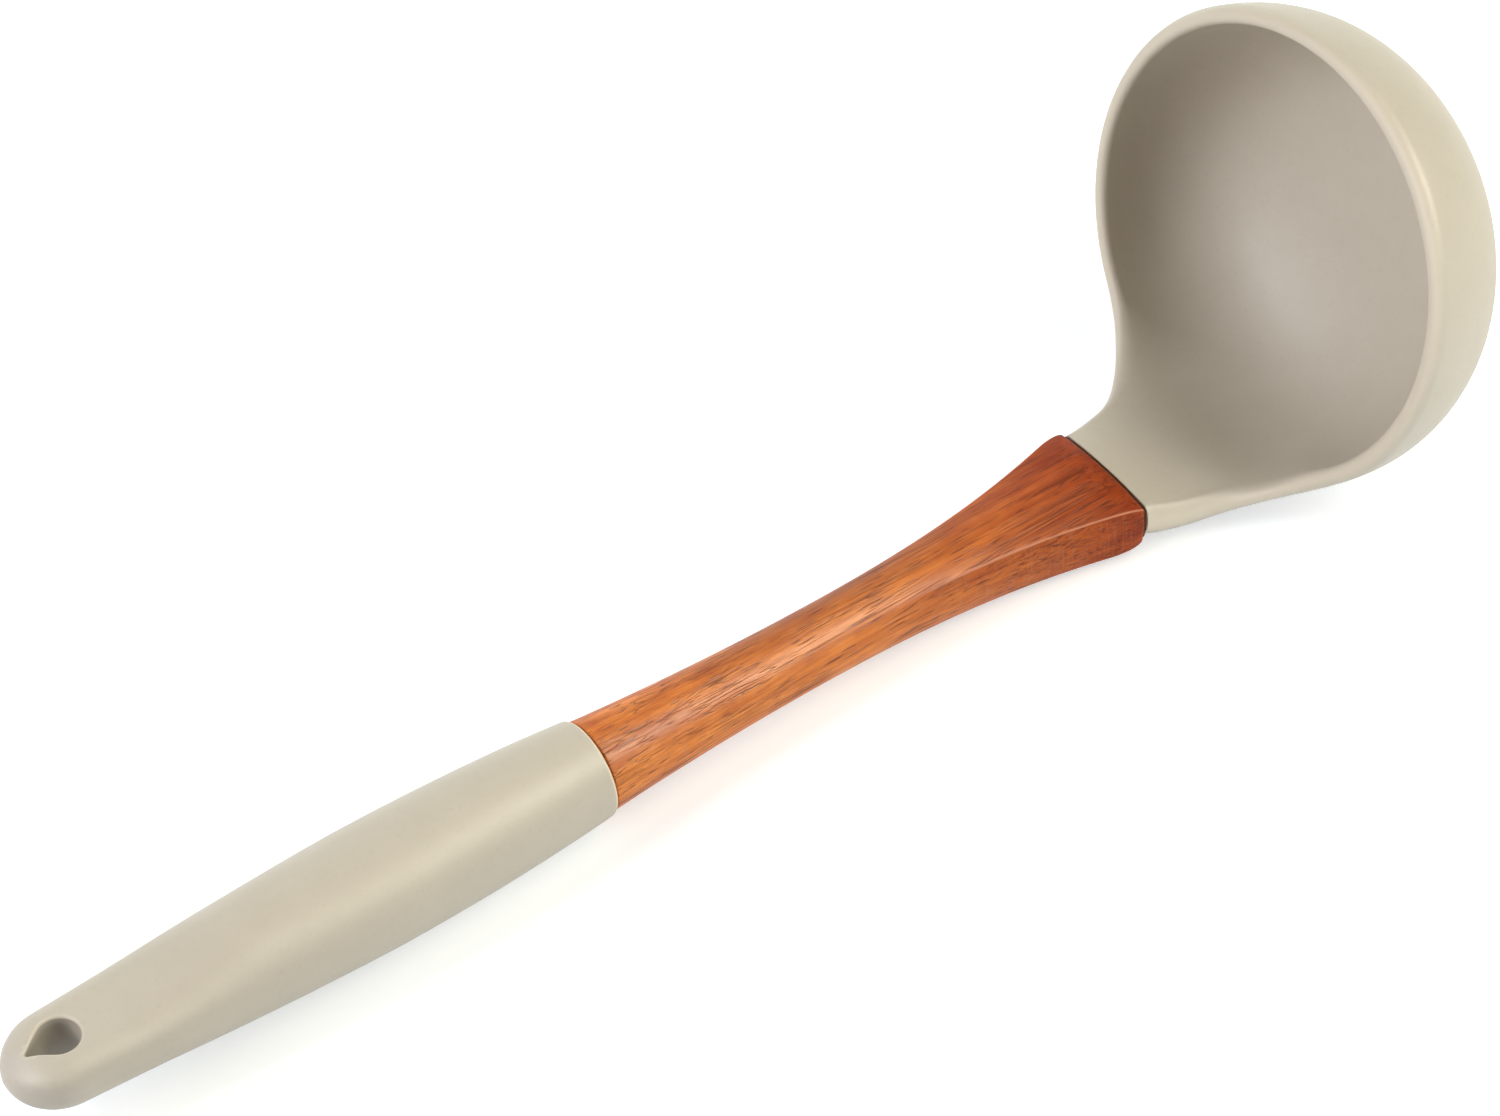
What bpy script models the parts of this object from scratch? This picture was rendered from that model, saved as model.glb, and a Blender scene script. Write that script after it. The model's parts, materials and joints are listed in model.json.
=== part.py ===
"""Soup ladle: a silicone head over a stiff core, a wooden shank and a silicone grip.

Lengths are in metres. The ladle is modelled in the handle frame: +X runs along the handle from
the tip of the grip to the bowl, and +Z points up on the side that the bowl opens towards. An empty
then turns that frame so that the finished ladle lies at rest on z = 0.
"""
import math

import bmesh
import bpy
from mathutils import Matrix, Vector

# Grip, from its tip at x = 0
GRIP_LENGTH = 0.1142
GRIP_END_RADIUS = 0.0090
SWELL_PLACE = 0.0700
SWELL_HALF_WIDTH = 0.0114
SWELL_FLATTENING = 0.92
SWELL_RISE_POWER = 1.4
SWELL_FALL_POWER = 1.8
NOSE_HALF_WIDTH = 0.0086
NOSE_LENGTH = 0.0095
NOSE_SQUARENESS = 2.8
NOSE_BLEND = 0.0300
CHEEK_HALF_THICKNESS = 0.0054
CHEEK_CROWN = 0.00045
CHEEK_PAST_HOLE = 0.0040
SLEEVE_WALL = 0.0025

# Hanging hole, a teardrop with its point towards the tip
HOLE_RADIUS = 0.0038
HOLE_POINT_REACH = 0.0065
HOLE_TIP_WALL = 0.0039
HOLE_TO_CORE = 0.0063

# Wooden shank
WOOD_LENGTH = 0.1100
WOOD_START_RADIUS = 0.00845
WAIST_RADIUS = 0.00668
WAIST_FROM_START = 0.0480
TAPER_POWER = 2.0
FLARE_SPREAD = 0.0061
FLARE_POWER = 3.0
FLARE_CORNER_LENGTH = 0.0065
FLARE_CORNER_ROUNDNESS = 0.98
FLARE_CORNER_DROP = 0.0010
FLARE_TOP_DROP = 0.0021
FLARE_SIDE_FLATNESS = 0.976
FLARE_TOP_FLATNESS = 0.79

# Glued joints between the shank and its two ends
HEAD_JOINT_LINE = 0.0009
TANG_LENGTH = 0.0360
TANG_WIDTH = 0.0076
TANG_THICKNESS = 0.0034
TANG_ROOT = 0.0030
PEG_LENGTH = 0.0320
PEG_RADIUS = 0.0036
PEG_ROOT = 0.0110
GLUE_THICKNESS = 0.0004
GLUE_CLEARANCE = 0.0002

# Neck of the head
NECK_LENGTH = 0.0214
NECK_HALF_WIDTH = 0.0121
NECK_HALF_THICKNESS = 0.0045
NECK_CROWN = 0.0008
NECK_FILLET = 0.0125
NECK_SPREAD = 0.0054
NECK_ROOT = 0.0160
NECK_INLET = 0.0140
NECK_END_ROUNDING = 0.0004

# Bowl: its rim is nearly square to the handle
BOWL_HALF_WIDTH = 0.0441
BOWL_HALF_HEIGHT = 0.0421
BOWL_DEPTH = 0.0330
BOWL_FULLNESS = 2.4
BOWL_WALL = 0.0033
BOWL_TILT = math.radians(17.0)
RIM_FOOT_HEIGHT = 0.0018
LIP_ROUNDING_SHARE = 0.3
SKIN_THICKNESS = 0.0009
CORE_RIM_BAND = 0.0030

# Clearance between pieces that touch on the real ladle
FIT_GAP = 0.0003
CUT_OVERSHOOT = 0.0020

# Mesh fineness
GRIP_COLUMNS = 24
NOSE_STEPS = 5
BODY_STEPS = 10
CORE_STEPS = 8
ARC_STEPS_TOP = 7
ARC_STEPS_SIDE = 5
TAPER_STEPS = 5
FLARE_STEPS = 9
CORNER_STEPS = 4
ROUND_STEPS = 20
NECK_END_COLUMNS = 3
NECK_SIDE_COLUMNS = 3
NECK_FILLET_COLUMNS = 5
RIM_SIDE_COLUMNS = 4
RIM_TOP_COLUMNS = 8
BOWL_RINGS = 4
BOWL_BASE_SHARE = 0.8
NECK_RINGS = 12
NECK_COLUMN_PINCH = 0.25
SMOOTH_ANGLE = math.radians(40.0)
WOOD_SMOOTH_ANGLE = math.radians(25.0)
REST_PASSES = 8

# Places that follow from the sizes above
HOLE_ROUND_CENTRE = HOLE_TIP_WALL + HOLE_POINT_REACH
HOLE_END = HOLE_ROUND_CENTRE + HOLE_RADIUS
CHEEK_END = HOLE_END + CHEEK_PAST_HOLE
GRIP_CORE_START = HOLE_END + HOLE_TO_CORE
WOOD_START = GRIP_LENGTH + FIT_GAP
WOOD_END = WOOD_START + WOOD_LENGTH
NECK_START = WOOD_END + HEAD_JOINT_LINE
WAIST_PLACE = WOOD_START + WAIST_FROM_START
GLUE_SPACE = GLUE_THICKNESS + 2.0 * GLUE_CLEARANCE
NECK_REACH = NECK_LENGTH / math.cos(BOWL_TILT)
RIM_FOOT = NECK_START + NECK_LENGTH

# Directions of the bowl: out of its opening, up in its rim, and across
OPENING = Vector((-math.cos(BOWL_TILT), 0.0, math.sin(BOWL_TILT)))
RIM_UP = Vector((math.sin(BOWL_TILT), 0.0, math.cos(BOWL_TILT)))
ACROSS = Vector((0.0, 1.0, 0.0))
RIM_CENTRE = Vector((RIM_FOOT, 0.0, RIM_FOOT_HEIGHT)) + RIM_UP * (BOWL_HALF_HEIGHT - BOWL_WALL)

# Colours and finishes: base colour, roughness
SILICONE = ((0.565, 0.500, 0.398, 1.0), 0.62)
WOOD = ((0.440, 0.120, 0.042, 1.0), 0.45)
CORE_NYLON = ((0.230, 0.205, 0.170, 1.0), 0.50)
GLUE = ((0.055, 0.030, 0.016, 1.0), 0.35)


def ease(share):
    """Rise smoothly from 0 to 1 as share does, and hold outside."""
    share = min(max(share, 0.0), 1.0)
    return share * share * (3.0 - 2.0 * share)


def blend(first, second, share):
    return first + (second - first) * share


# Scene and mesh helpers

def clear_scene():
    for item in list(bpy.data.objects):
        bpy.data.objects.remove(item, do_unlink=True)


def new_collection(name):
    group = bpy.data.collections.new(name)
    bpy.context.scene.collection.children.link(group)
    return group


def new_material(name, finish):
    colour, roughness = finish
    material = bpy.data.materials.new(name)
    material.use_nodes = True
    shader = material.node_tree.nodes["Principled BSDF"]
    shader.inputs["Base Color"].default_value = colour
    shader.inputs["Roughness"].default_value = roughness
    shader.inputs["Metallic"].default_value = 0.0
    return material


def start_ring(bm, places):
    ring = bmesh.ops.create_circle(bm, segments=len(places), radius=1.0)["verts"]
    for vert, place in zip(ring, places):
        vert.co = place
    return ring


def ring_edges(bm, ring):
    return [bm.edges.get((ring[i - 1], ring[i])) for i in range(len(ring))]


def next_ring(bm, ring, places):
    """Extrude a ring of edges and put the new vertices in their places."""
    made = bmesh.ops.extrude_edge_only(bm, edges=ring_edges(bm, ring))["geom"]
    fresh = {item for item in made if isinstance(item, bmesh.types.BMVert)}
    following = []
    for vert, place in zip(ring, places):
        partner = next(e.other_vert(vert) for e in vert.link_edges if e.other_vert(vert) in fresh)
        partner.co = place
        following.append(partner)
    return following


def close_flat(bm, ring):
    bmesh.ops.contextual_create(bm, geom=ring_edges(bm, ring))


def close_point(bm, ring, place):
    bmesh.ops.pointmerge(bm, verts=ring, merge_co=place)


def loft(rings, first_point=None, last_point=None):
    """Skin a list of rings into a closed body; an end is flat unless a point is given for it."""
    bm = bmesh.new()
    first = start_ring(bm, rings[0])
    last = first
    for places in rings[1:]:
        last = next_ring(bm, last, places)
    for ring, point in ((first, first_point), (last, last_point)):
        if point is None:
            close_flat(bm, ring)
        else:
            close_point(bm, ring, point)
    bmesh.ops.recalc_face_normals(bm, faces=bm.faces)
    return bm


def box(bm, low, high):
    size = high - low
    place = Matrix.Translation((low + high) / 2.0) @ Matrix.Diagonal((*size, 1.0))
    bmesh.ops.create_cube(bm, size=1.0, matrix=place)
    return bm


def rod(bm, start, end, radius):
    """A round bar along X."""
    place = Matrix.Translation(((start + end) / 2.0, 0.0, 0.0)) @ Matrix.Rotation(math.pi / 2.0, 4, "Y")
    bmesh.ops.create_cone(bm, cap_ends=True, segments=ROUND_STEPS, radius1=radius, radius2=radius,
                          depth=end - start, matrix=place)
    return bm


def new_object(name, bm, group, smooth_angle=SMOOTH_ANGLE):
    mesh = bpy.data.meshes.new(name)
    bm.to_mesh(mesh)
    bm.free()
    mesh.shade_smooth()
    mesh.set_sharp_from_angle(angle=smooth_angle)
    item = bpy.data.objects.new(name, mesh)
    group.objects.link(item)
    return item


def new_cutter(name, bm, group):
    cutter = new_object(name, bm, group)
    cutter.hide_render = True
    cutter.display_type = "WIRE"
    return cutter


def combine(item, tool, operation):
    modifier = item.modifiers.new(tool.name, "BOOLEAN")
    modifier.operation = operation
    modifier.solver = "EXACT"
    modifier.object = tool


# Grip

def nose_share(x):
    """1 on the flattened nose round the hanging hole, 0 on the oval body of the grip."""
    return 1.0 - ease((x - CHEEK_END) / NOSE_BLEND)


def grip_half_width(x):
    if x < SWELL_PLACE:
        share = (SWELL_PLACE - x) / (SWELL_PLACE - NOSE_LENGTH)
        return SWELL_HALF_WIDTH - (SWELL_HALF_WIDTH - NOSE_HALF_WIDTH) * share ** SWELL_RISE_POWER
    share = (x - SWELL_PLACE) / (GRIP_LENGTH - SWELL_PLACE)
    return SWELL_HALF_WIDTH - (SWELL_HALF_WIDTH - GRIP_END_RADIUS) * share ** SWELL_FALL_POWER


def grip_half_height(x):
    towards_joint = ease((x - SWELL_PLACE) / (GRIP_LENGTH - SWELL_PLACE))
    body = grip_half_width(x) * blend(SWELL_FLATTENING, 1.0, towards_joint)
    return blend(body, CHEEK_HALF_THICKNESS + CHEEK_CROWN, nose_share(x))


def grip_ring(x, inset=0.0):
    """Section of the grip at x, kept inset below its surface, with flat cheeks on the nose."""
    tip = math.sqrt(max(0.0, 1.0 - (1.0 - min(x / NOSE_LENGTH, 1.0)) ** 2))
    half_width = grip_half_width(x) * tip - inset
    half_height = grip_half_height(x) * tip - inset
    cheek = CHEEK_HALF_THICKNESS + grip_half_height(x) * (1.0 - nose_share(x))
    power = 2.0 / blend(2.0, NOSE_SQUARENESS, nose_share(x))
    ring = []
    for column in range(GRIP_COLUMNS):
        angle = math.tau * (column + 0.5) / GRIP_COLUMNS
        y = half_width * math.copysign(abs(math.cos(angle)) ** power, math.cos(angle))
        z = half_height * math.copysign(abs(math.sin(angle)) ** power, math.sin(angle))
        ring.append(Vector((x, y, max(-cheek, min(cheek, z)))))
    return ring


def grip_stations():
    nose = [NOSE_LENGTH * (1.0 - math.cos(math.pi / 2.0 * i / NOSE_STEPS)) for i in range(1, NOSE_STEPS + 1)]
    body = [blend(CHEEK_END, GRIP_LENGTH, i / BODY_STEPS) for i in range(BODY_STEPS + 1)]
    return nose + body


def core_stations(start):
    return [blend(start, GRIP_LENGTH, i / CORE_STEPS) for i in range(CORE_STEPS + 1)]


def teardrop_ring(z):
    """Outline of the hanging hole at height z."""
    tangent = math.acos(HOLE_RADIUS / HOLE_POINT_REACH)
    ring = [Vector((HOLE_ROUND_CENTRE - HOLE_POINT_REACH, 0.0, z))]
    for step in range(ROUND_STEPS + 1):
        angle = blend(tangent, math.tau - tangent, step / ROUND_STEPS)
        x = HOLE_ROUND_CENTRE - HOLE_RADIUS * math.cos(angle)
        ring.append(Vector((x, HOLE_RADIUS * math.sin(angle), z)))
    return ring


def make_grip_sleeve(parts, cutters):
    tip = Vector((0.0, 0.0, 0.0))
    sleeve = new_object("grip_sleeve", loft([grip_ring(x) for x in grip_stations()], first_point=tip), parts)
    beyond = CHEEK_HALF_THICKNESS + CUT_OVERSHOOT
    hole = new_cutter("hanging_hole", loft([teardrop_ring(-beyond), teardrop_ring(beyond)]), cutters)
    rings = [grip_ring(x, SLEEVE_WALL) for x in core_stations(GRIP_CORE_START)]
    rings.append([place + Vector((CUT_OVERSHOOT, 0.0, 0.0)) for place in rings[-1]])
    hollow = new_cutter("sleeve_hollow", loft(rings), cutters)
    combine(sleeve, hole, "DIFFERENCE")
    combine(sleeve, hollow, "DIFFERENCE")
    return sleeve


def make_grip_core(parts, cutters):
    inset = SLEEVE_WALL + FIT_GAP
    rings = [grip_ring(x, inset) for x in core_stations(GRIP_CORE_START + FIT_GAP)]
    core = new_object("grip_core", loft(rings), parts)
    peg = rod(bmesh.new(), GRIP_LENGTH - PEG_ROOT, WOOD_START + PEG_LENGTH, PEG_RADIUS)
    combine(core, new_cutter("grip_peg", peg, cutters), "UNION")
    return core


# Wooden shank

def arc_points(half_span, crown_height, crown, steps):
    """Points of a shallow arc over a span, from one corner up to the next one, as (along, height)."""
    radius = (half_span ** 2 + crown ** 2) / (2.0 * crown)
    sweep = math.atan2(half_span, radius - crown)
    points = []
    for step in range(steps):
        angle = blend(-sweep, sweep, step / steps)
        points.append((radius * math.sin(angle), crown_height - radius * (1.0 - math.cos(angle))))
    return points


def wood_flare(x):
    return max(0.0, (x - WAIST_PLACE) / (WOOD_END - WAIST_PLACE))


def wood_end_rounding(x):
    """0 up to the rounded end of the shank and 1 on its end face, along a quarter ellipse."""
    share = min(max(1.0 - (WOOD_END - x) / FLARE_CORNER_LENGTH, 0.0), 1.0)
    return 1.0 - math.sqrt(max(0.0, 1.0 - share * share * FLARE_CORNER_ROUNDNESS))


def wood_ring(x):
    """Section of the shank: four arcs that make a circle at the waist and a crowned slab at the end."""
    taper = max(0.0, (WAIST_PLACE - x) / WAIST_FROM_START)
    flare = wood_flare(x)
    radius = WAIST_RADIUS + (WOOD_START_RADIUS - WAIST_RADIUS) * taper ** TAPER_POWER
    half_width = radius + FLARE_SPREAD * flare ** FLARE_POWER - FLARE_CORNER_DROP * wood_end_rounding(x)
    half_height = radius - FLARE_TOP_DROP * wood_end_rounding(x)
    corner_y = half_width * blend(math.sqrt(0.5), FLARE_SIDE_FLATNESS, ease(flare))
    corner_z = half_height * blend(math.sqrt(0.5), FLARE_TOP_FLATNESS, ease(flare))
    top = arc_points(corner_y, half_height, half_height - corner_z, ARC_STEPS_TOP)
    side = arc_points(corner_z, half_width, half_width - corner_y, ARC_STEPS_SIDE)
    ring = [Vector((x, along, height)) for along, height in top]
    ring += [Vector((x, height, -along)) for along, height in side]
    ring += [Vector((x, -along, -height)) for along, height in top]
    ring += [Vector((x, -height, along)) for along, height in side]
    return ring


def wood_stations():
    corner_start = WOOD_END - FLARE_CORNER_LENGTH
    taper = [blend(WOOD_START, WAIST_PLACE, i / TAPER_STEPS) for i in range(TAPER_STEPS)]
    flare = [blend(WAIST_PLACE, corner_start, i / FLARE_STEPS) for i in range(FLARE_STEPS)]
    corner = [corner_start + FLARE_CORNER_LENGTH * math.sin(math.pi / 2.0 * i / CORNER_STEPS)
              for i in range(CORNER_STEPS + 1)]
    return taper + flare + corner


def tang_box(clearance, start, end):
    half_width = TANG_WIDTH / 2.0 + clearance
    half_thickness = TANG_THICKNESS / 2.0 + clearance
    low = Vector((start, -half_width, -half_thickness))
    high = Vector((end, half_width, half_thickness))
    return box(bmesh.new(), low, high)


def make_wood_handle(parts, cutters):
    shank = new_object("wood_handle", loft([wood_ring(x) for x in wood_stations()]), parts,
                       smooth_angle=WOOD_SMOOTH_ANGLE)
    peg_end = WOOD_START + PEG_LENGTH + FIT_GAP
    peg_hole = rod(bmesh.new(), WOOD_START - CUT_OVERSHOOT, peg_end, PEG_RADIUS + GLUE_SPACE)
    combine(shank, new_cutter("peg_hole", peg_hole, cutters), "DIFFERENCE")
    tang_start = WOOD_END - TANG_LENGTH - FIT_GAP
    socket = tang_box(GLUE_SPACE, tang_start, WOOD_END + CUT_OVERSHOOT)
    combine(shank, new_cutter("tang_socket", socket, cutters), "DIFFERENCE")
    return shank


# Glue in the two joints

def make_grip_glue(parts, cutters):
    start = WOOD_START + GLUE_CLEARANCE
    end = WOOD_START + PEG_LENGTH - FIT_GAP
    outside = rod(bmesh.new(), start, end, PEG_RADIUS + GLUE_CLEARANCE + GLUE_THICKNESS)
    glue = new_object("grip_glue", outside, parts)
    bore = rod(bmesh.new(), start - CUT_OVERSHOOT, end + CUT_OVERSHOOT, PEG_RADIUS + GLUE_CLEARANCE)
    combine(glue, new_cutter("grip_glue_bore", bore, cutters), "DIFFERENCE")
    return glue


def make_head_glue(parts, cutters):
    """A film between the end of the shank and the neck, with a sleeve round the tang."""
    film_start = WOOD_END + (HEAD_JOINT_LINE - GLUE_THICKNESS) / 2.0
    film_end = film_start + GLUE_THICKNESS
    outline = wood_ring(WOOD_END)
    half_width = max(place.y for place in outline)
    half_height = max(place.z for place in outline)
    width_share = (min(half_width, NECK_HALF_WIDTH) - NECK_END_ROUNDING) / half_width
    height_share = (min(half_height, NECK_HALF_THICKNESS) - NECK_END_ROUNDING) / half_height
    film = [[Vector((x, place.y * width_share, place.z * height_share)) for place in outline]
            for x in (film_start, film_end)]
    glue = new_object("head_glue", loft(film), parts)
    sleeve_start = WOOD_END - TANG_LENGTH + FIT_GAP
    sleeve = tang_box(GLUE_CLEARANCE + GLUE_THICKNESS, sleeve_start, (film_start + film_end) / 2.0)
    combine(glue, new_cutter("tang_glue_sleeve", sleeve, cutters), "UNION")
    bore = tang_box(GLUE_CLEARANCE, sleeve_start - CUT_OVERSHOOT, film_end + CUT_OVERSHOOT)
    combine(glue, new_cutter("tang_glue_bore", bore, cutters), "DIFFERENCE")
    return glue


# Head: a spun bowl wall whose rim is drawn out into the neck

def wall_radii(outer):
    trim = 0.0 if outer else BOWL_WALL
    return BOWL_HALF_HEIGHT - trim, BOWL_HALF_WIDTH - trim, BOWL_DEPTH - trim


def superellipse(share):
    """Height over a quarter of the bowl's full, rounded meridian, for a share of its half width."""
    return (1.0 - min(share, 1.0) ** BOWL_FULLNESS) ** (1.0 / BOWL_FULLNESS)


def plain_wall(angle, reach, outer):
    """Wall point at an angle from the neck; reach is 0 on the rim, + along the neck, - into the bowl."""
    half_height, half_width, depth = wall_radii(outer)
    sunk = min(max(-reach / wall_radii(False)[2], 0.0), 1.0)
    ring_share = superellipse(sunk)
    along = max(reach, 0.0) - depth * sunk
    place = RIM_CENTRE - RIM_UP * (half_height * math.cos(angle) * ring_share)
    return place + ACROSS * (half_width * math.sin(angle) * ring_share) + OPENING * along


def neck_face(angle, outer):
    """Where the wall has to end at the shank: the crowned top or bottom edge of the neck."""
    y = wall_radii(False)[1] * math.sin(angle)
    crown_share = min(abs(y) / NECK_HALF_WIDTH, 1.0)
    z = NECK_HALF_THICKNESS - NECK_CROWN * crown_share ** 2
    return Vector((NECK_START, y, -z if outer else z))


def wall_face(angle, reach, outer):
    """Point on the inner or the outer face of the head."""
    place = plain_wall(angle, reach, outer)
    y = abs(wall_radii(False)[1] * math.sin(angle)) if math.cos(angle) > 0.0 else BOWL_HALF_WIDTH
    nearness = 1.0 - ease((y - NECK_HALF_WIDTH) / (NECK_FILLET + NECK_SPREAD))
    if outer:
        share = ease((reach + NECK_ROOT) / (NECK_REACH + NECK_ROOT)) * nearness
    else:
        inlet = NECK_INLET * nearness
        share = ease((reach + inlet) / (NECK_REACH + inlet))
    if share == 0.0:
        return place
    return place + (neck_face(angle, outer) - plain_wall(angle, NECK_REACH, outer)) * share


def wall_point(angle, reach, depth_share, inset_depth=0.0):
    """Point between the two faces; inset_depth is kept from each face."""
    inner = wall_face(angle, reach, False)
    across = wall_face(angle, reach, True) - inner
    skin_share = inset_depth / across.length
    return inner + across * blend(skin_share, 1.0 - skin_share, depth_share)


def outline_half(inset, end_reach):
    """Half of the head's edge from the middle of the neck's end to the far side of the rim."""
    lateral = wall_radii(False)[1]
    half_width = NECK_HALF_WIDTH - inset
    fillet = min(NECK_FILLET, NECK_REACH)
    fillet_centre = NECK_HALF_WIDTH + fillet
    edge = [(math.asin(half_width * i / NECK_END_COLUMNS / lateral), end_reach)
            for i in range(NECK_END_COLUMNS + 1)]

    def add_edge(y, reach):
        spread = NECK_SPREAD * min(1.0 - reach / NECK_REACH, 1.0)
        edge.append((math.asin((y + spread) / lateral), reach))

    for step in range(1, NECK_SIDE_COLUMNS):
        add_edge(half_width, blend(end_reach, fillet, step / NECK_SIDE_COLUMNS))
    for step in range(NECK_FILLET_COLUMNS + 1):
        turn = math.pi / 2.0 * step / NECK_FILLET_COLUMNS
        y = fillet_centre - (fillet + inset) * math.cos(turn)
        add_edge(y, fillet - (fillet + inset) * math.sin(turn))
    rim_start = edge[-1][0]
    rim_side = math.pi / 2.0
    for step in range(1, RIM_SIDE_COLUMNS + 1):
        edge.append((blend(rim_start, rim_side, step / RIM_SIDE_COLUMNS), -inset))
    for step in range(1, RIM_TOP_COLUMNS + 1):
        edge.append((blend(rim_side, math.pi, step / RIM_TOP_COLUMNS), -inset))
    return edge


def pinched(half):
    """Draw the columns of the neck together, as they run inside the bowl."""
    bases = []
    for column, (angle, reach) in enumerate(half):
        past_end = (column - NECK_END_COLUMNS) / (NECK_SIDE_COLUMNS + NECK_FILLET_COLUMNS)
        spread = min(max(past_end, 0.0), 1.0)
        bases.append((angle * (1.0 - NECK_COLUMN_PINCH * (1.0 - spread)), reach))
    return bases


def whole_ring(half):
    """Mirror half a ring of (angle, reach) pairs to the other side of the neck."""
    return half + [(-angle, reach) for angle, reach in reversed(half[1:-1])]


def head_shell(inset, skin, end_reach):
    """Closed wall of the head, its edge and faces kept inset and skin below the finished surface."""
    half_edge = outline_half(inset, end_reach)
    rounding = LIP_ROUNDING_SHARE * (BOWL_WALL - 2.0 * skin)
    half_lip = outline_half(inset + rounding, end_reach - NECK_END_ROUNDING)
    edge = whole_ring(half_edge)
    lip = whole_ring(half_lip)
    inner_depth = wall_radii(False)[2]
    base_reach = -inner_depth * superellipse(BOWL_BASE_SHARE)
    base_angles = [angle for angle, _ in whole_ring(pinched(half_lip))]

    def face_rings(depth_share):
        rings = []
        for step in range(1, BOWL_RINGS):
            reach = -inner_depth * superellipse(BOWL_BASE_SHARE * step / BOWL_RINGS)
            rings.append([wall_point(angle, reach, depth_share, skin) for angle in base_angles])
        for step in range(NECK_RINGS + 1):
            share = step / NECK_RINGS
            ring = []
            for base_angle, (angle, reach) in zip(base_angles, lip):
                place = wall_point(blend(base_angle, angle, share), blend(base_reach, reach, share),
                                   depth_share, skin)
                ring.append(place)
            rings.append(ring)
        return rings

    lip_rings = []
    for depth_share in (LIP_ROUNDING_SHARE, 1.0 - LIP_ROUNDING_SHARE):
        lip_rings.append([wall_point(angle, reach, depth_share, skin) for angle, reach in edge])
    rings = face_rings(0.0) + lip_rings + list(reversed(face_rings(1.0)))
    poles = [wall_point(0.0, -inner_depth, share, skin) for share in (0.0, 1.0)]
    return loft(rings, first_point=poles[0], last_point=poles[1])


def make_head_skin(parts, cutters):
    skin = new_object("bowl_skin", head_shell(0.0, 0.0, NECK_REACH), parts)
    hollow = head_shell(CORE_RIM_BAND, SKIN_THICKNESS, NECK_REACH + CUT_OVERSHOOT)
    combine(skin, new_cutter("skin_hollow", hollow, cutters), "DIFFERENCE")
    return skin


def make_head_core(parts, cutters):
    shell = head_shell(CORE_RIM_BAND + FIT_GAP, SKIN_THICKNESS + FIT_GAP, NECK_REACH)
    core = new_object("bowl_core", shell, parts)
    tang = tang_box(0.0, WOOD_END - TANG_LENGTH, NECK_START + TANG_ROOT)
    combine(core, new_cutter("core_tang", tang, cutters), "UNION")
    return core


# Rest: the handle lies on the lowest line under the middle of the shank

def solid_points(items):
    graph = bpy.context.evaluated_depsgraph_get()
    points = []
    for item in items:
        solid = item.evaluated_get(graph)
        points += [vert.co.copy() for vert in solid.data.vertices]
    return points


def rest_slope(points):
    middle = WOOD_START + WOOD_LENGTH / 2.0
    slope = 0.0
    for _ in range(REST_PASSES):
        behind = min((p for p in points if p.x < middle), key=lambda p: p.z - slope * p.x)
        ahead = min((p for p in points if p.x > middle), key=lambda p: p.z - slope * p.x)
        slope = (ahead.z - behind.z) / (ahead.x - behind.x)
    return slope


def lay_at_rest(frame, items):
    points = solid_points(items)
    turn = Matrix.Rotation(math.atan(rest_slope(points)), 4, "Y")
    turned = [turn @ point for point in points]
    middle = (min(p.x for p in turned) + max(p.x for p in turned)) / 2.0
    lowest = min(p.z for p in turned)
    frame.matrix_world = Matrix.Translation((-middle, 0.0, -lowest)) @ turn


def main():
    clear_scene()
    parts = new_collection("soup_ladle")
    cutters = new_collection("soup_ladle_cutters")
    makers = (
        (make_head_skin, SILICONE),
        (make_head_core, CORE_NYLON),
        (make_head_glue, GLUE),
        (make_wood_handle, WOOD),
        (make_grip_glue, GLUE),
        (make_grip_core, CORE_NYLON),
        (make_grip_sleeve, SILICONE),
    )
    items = []
    for make, finish in makers:
        item = make(parts, cutters)
        item.data.materials.append(new_material(item.name, finish))
        items.append(item)
    frame = bpy.data.objects.new("handle_frame", None)
    parts.objects.link(frame)
    for item in list(parts.objects) + list(cutters.objects):
        if item is not frame:
            item.parent = frame
    lay_at_rest(frame, items)
    bpy.context.view_layer.update()


main()
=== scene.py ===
"""Soup ladle: silicone head and grip on a wooden shank, on a pale studio floor.

Lengths are in metres. The pieces are modelled in the handle frame, where +X runs along the handle from
the tip of the grip to the bowl and +Z is the side that the bowl opens towards. Each finished piece is
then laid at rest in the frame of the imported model.
"""
import json
import math

import bmesh
import bpy
from bpy.props import FloatProperty, FloatVectorProperty, PointerProperty
from bpy.types import Operator, Panel, PropertyGroup
from mathutils import Matrix, Vector


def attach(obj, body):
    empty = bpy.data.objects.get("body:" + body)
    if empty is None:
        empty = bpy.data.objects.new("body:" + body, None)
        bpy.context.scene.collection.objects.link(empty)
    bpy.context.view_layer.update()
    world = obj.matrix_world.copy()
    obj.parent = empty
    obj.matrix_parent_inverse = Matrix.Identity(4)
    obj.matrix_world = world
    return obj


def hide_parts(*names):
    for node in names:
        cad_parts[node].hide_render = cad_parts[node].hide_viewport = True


bl_info = {
    "name": "Soup Ladle",
    "version": (1, 0, 0),
    "blender": (4, 5, 0),
    "location": "View3D > Sidebar > Ladle",
    "description": "Models a soup ladle with a silicone head and grip on a wooden shank",
    "category": "Add Mesh",
}

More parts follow.
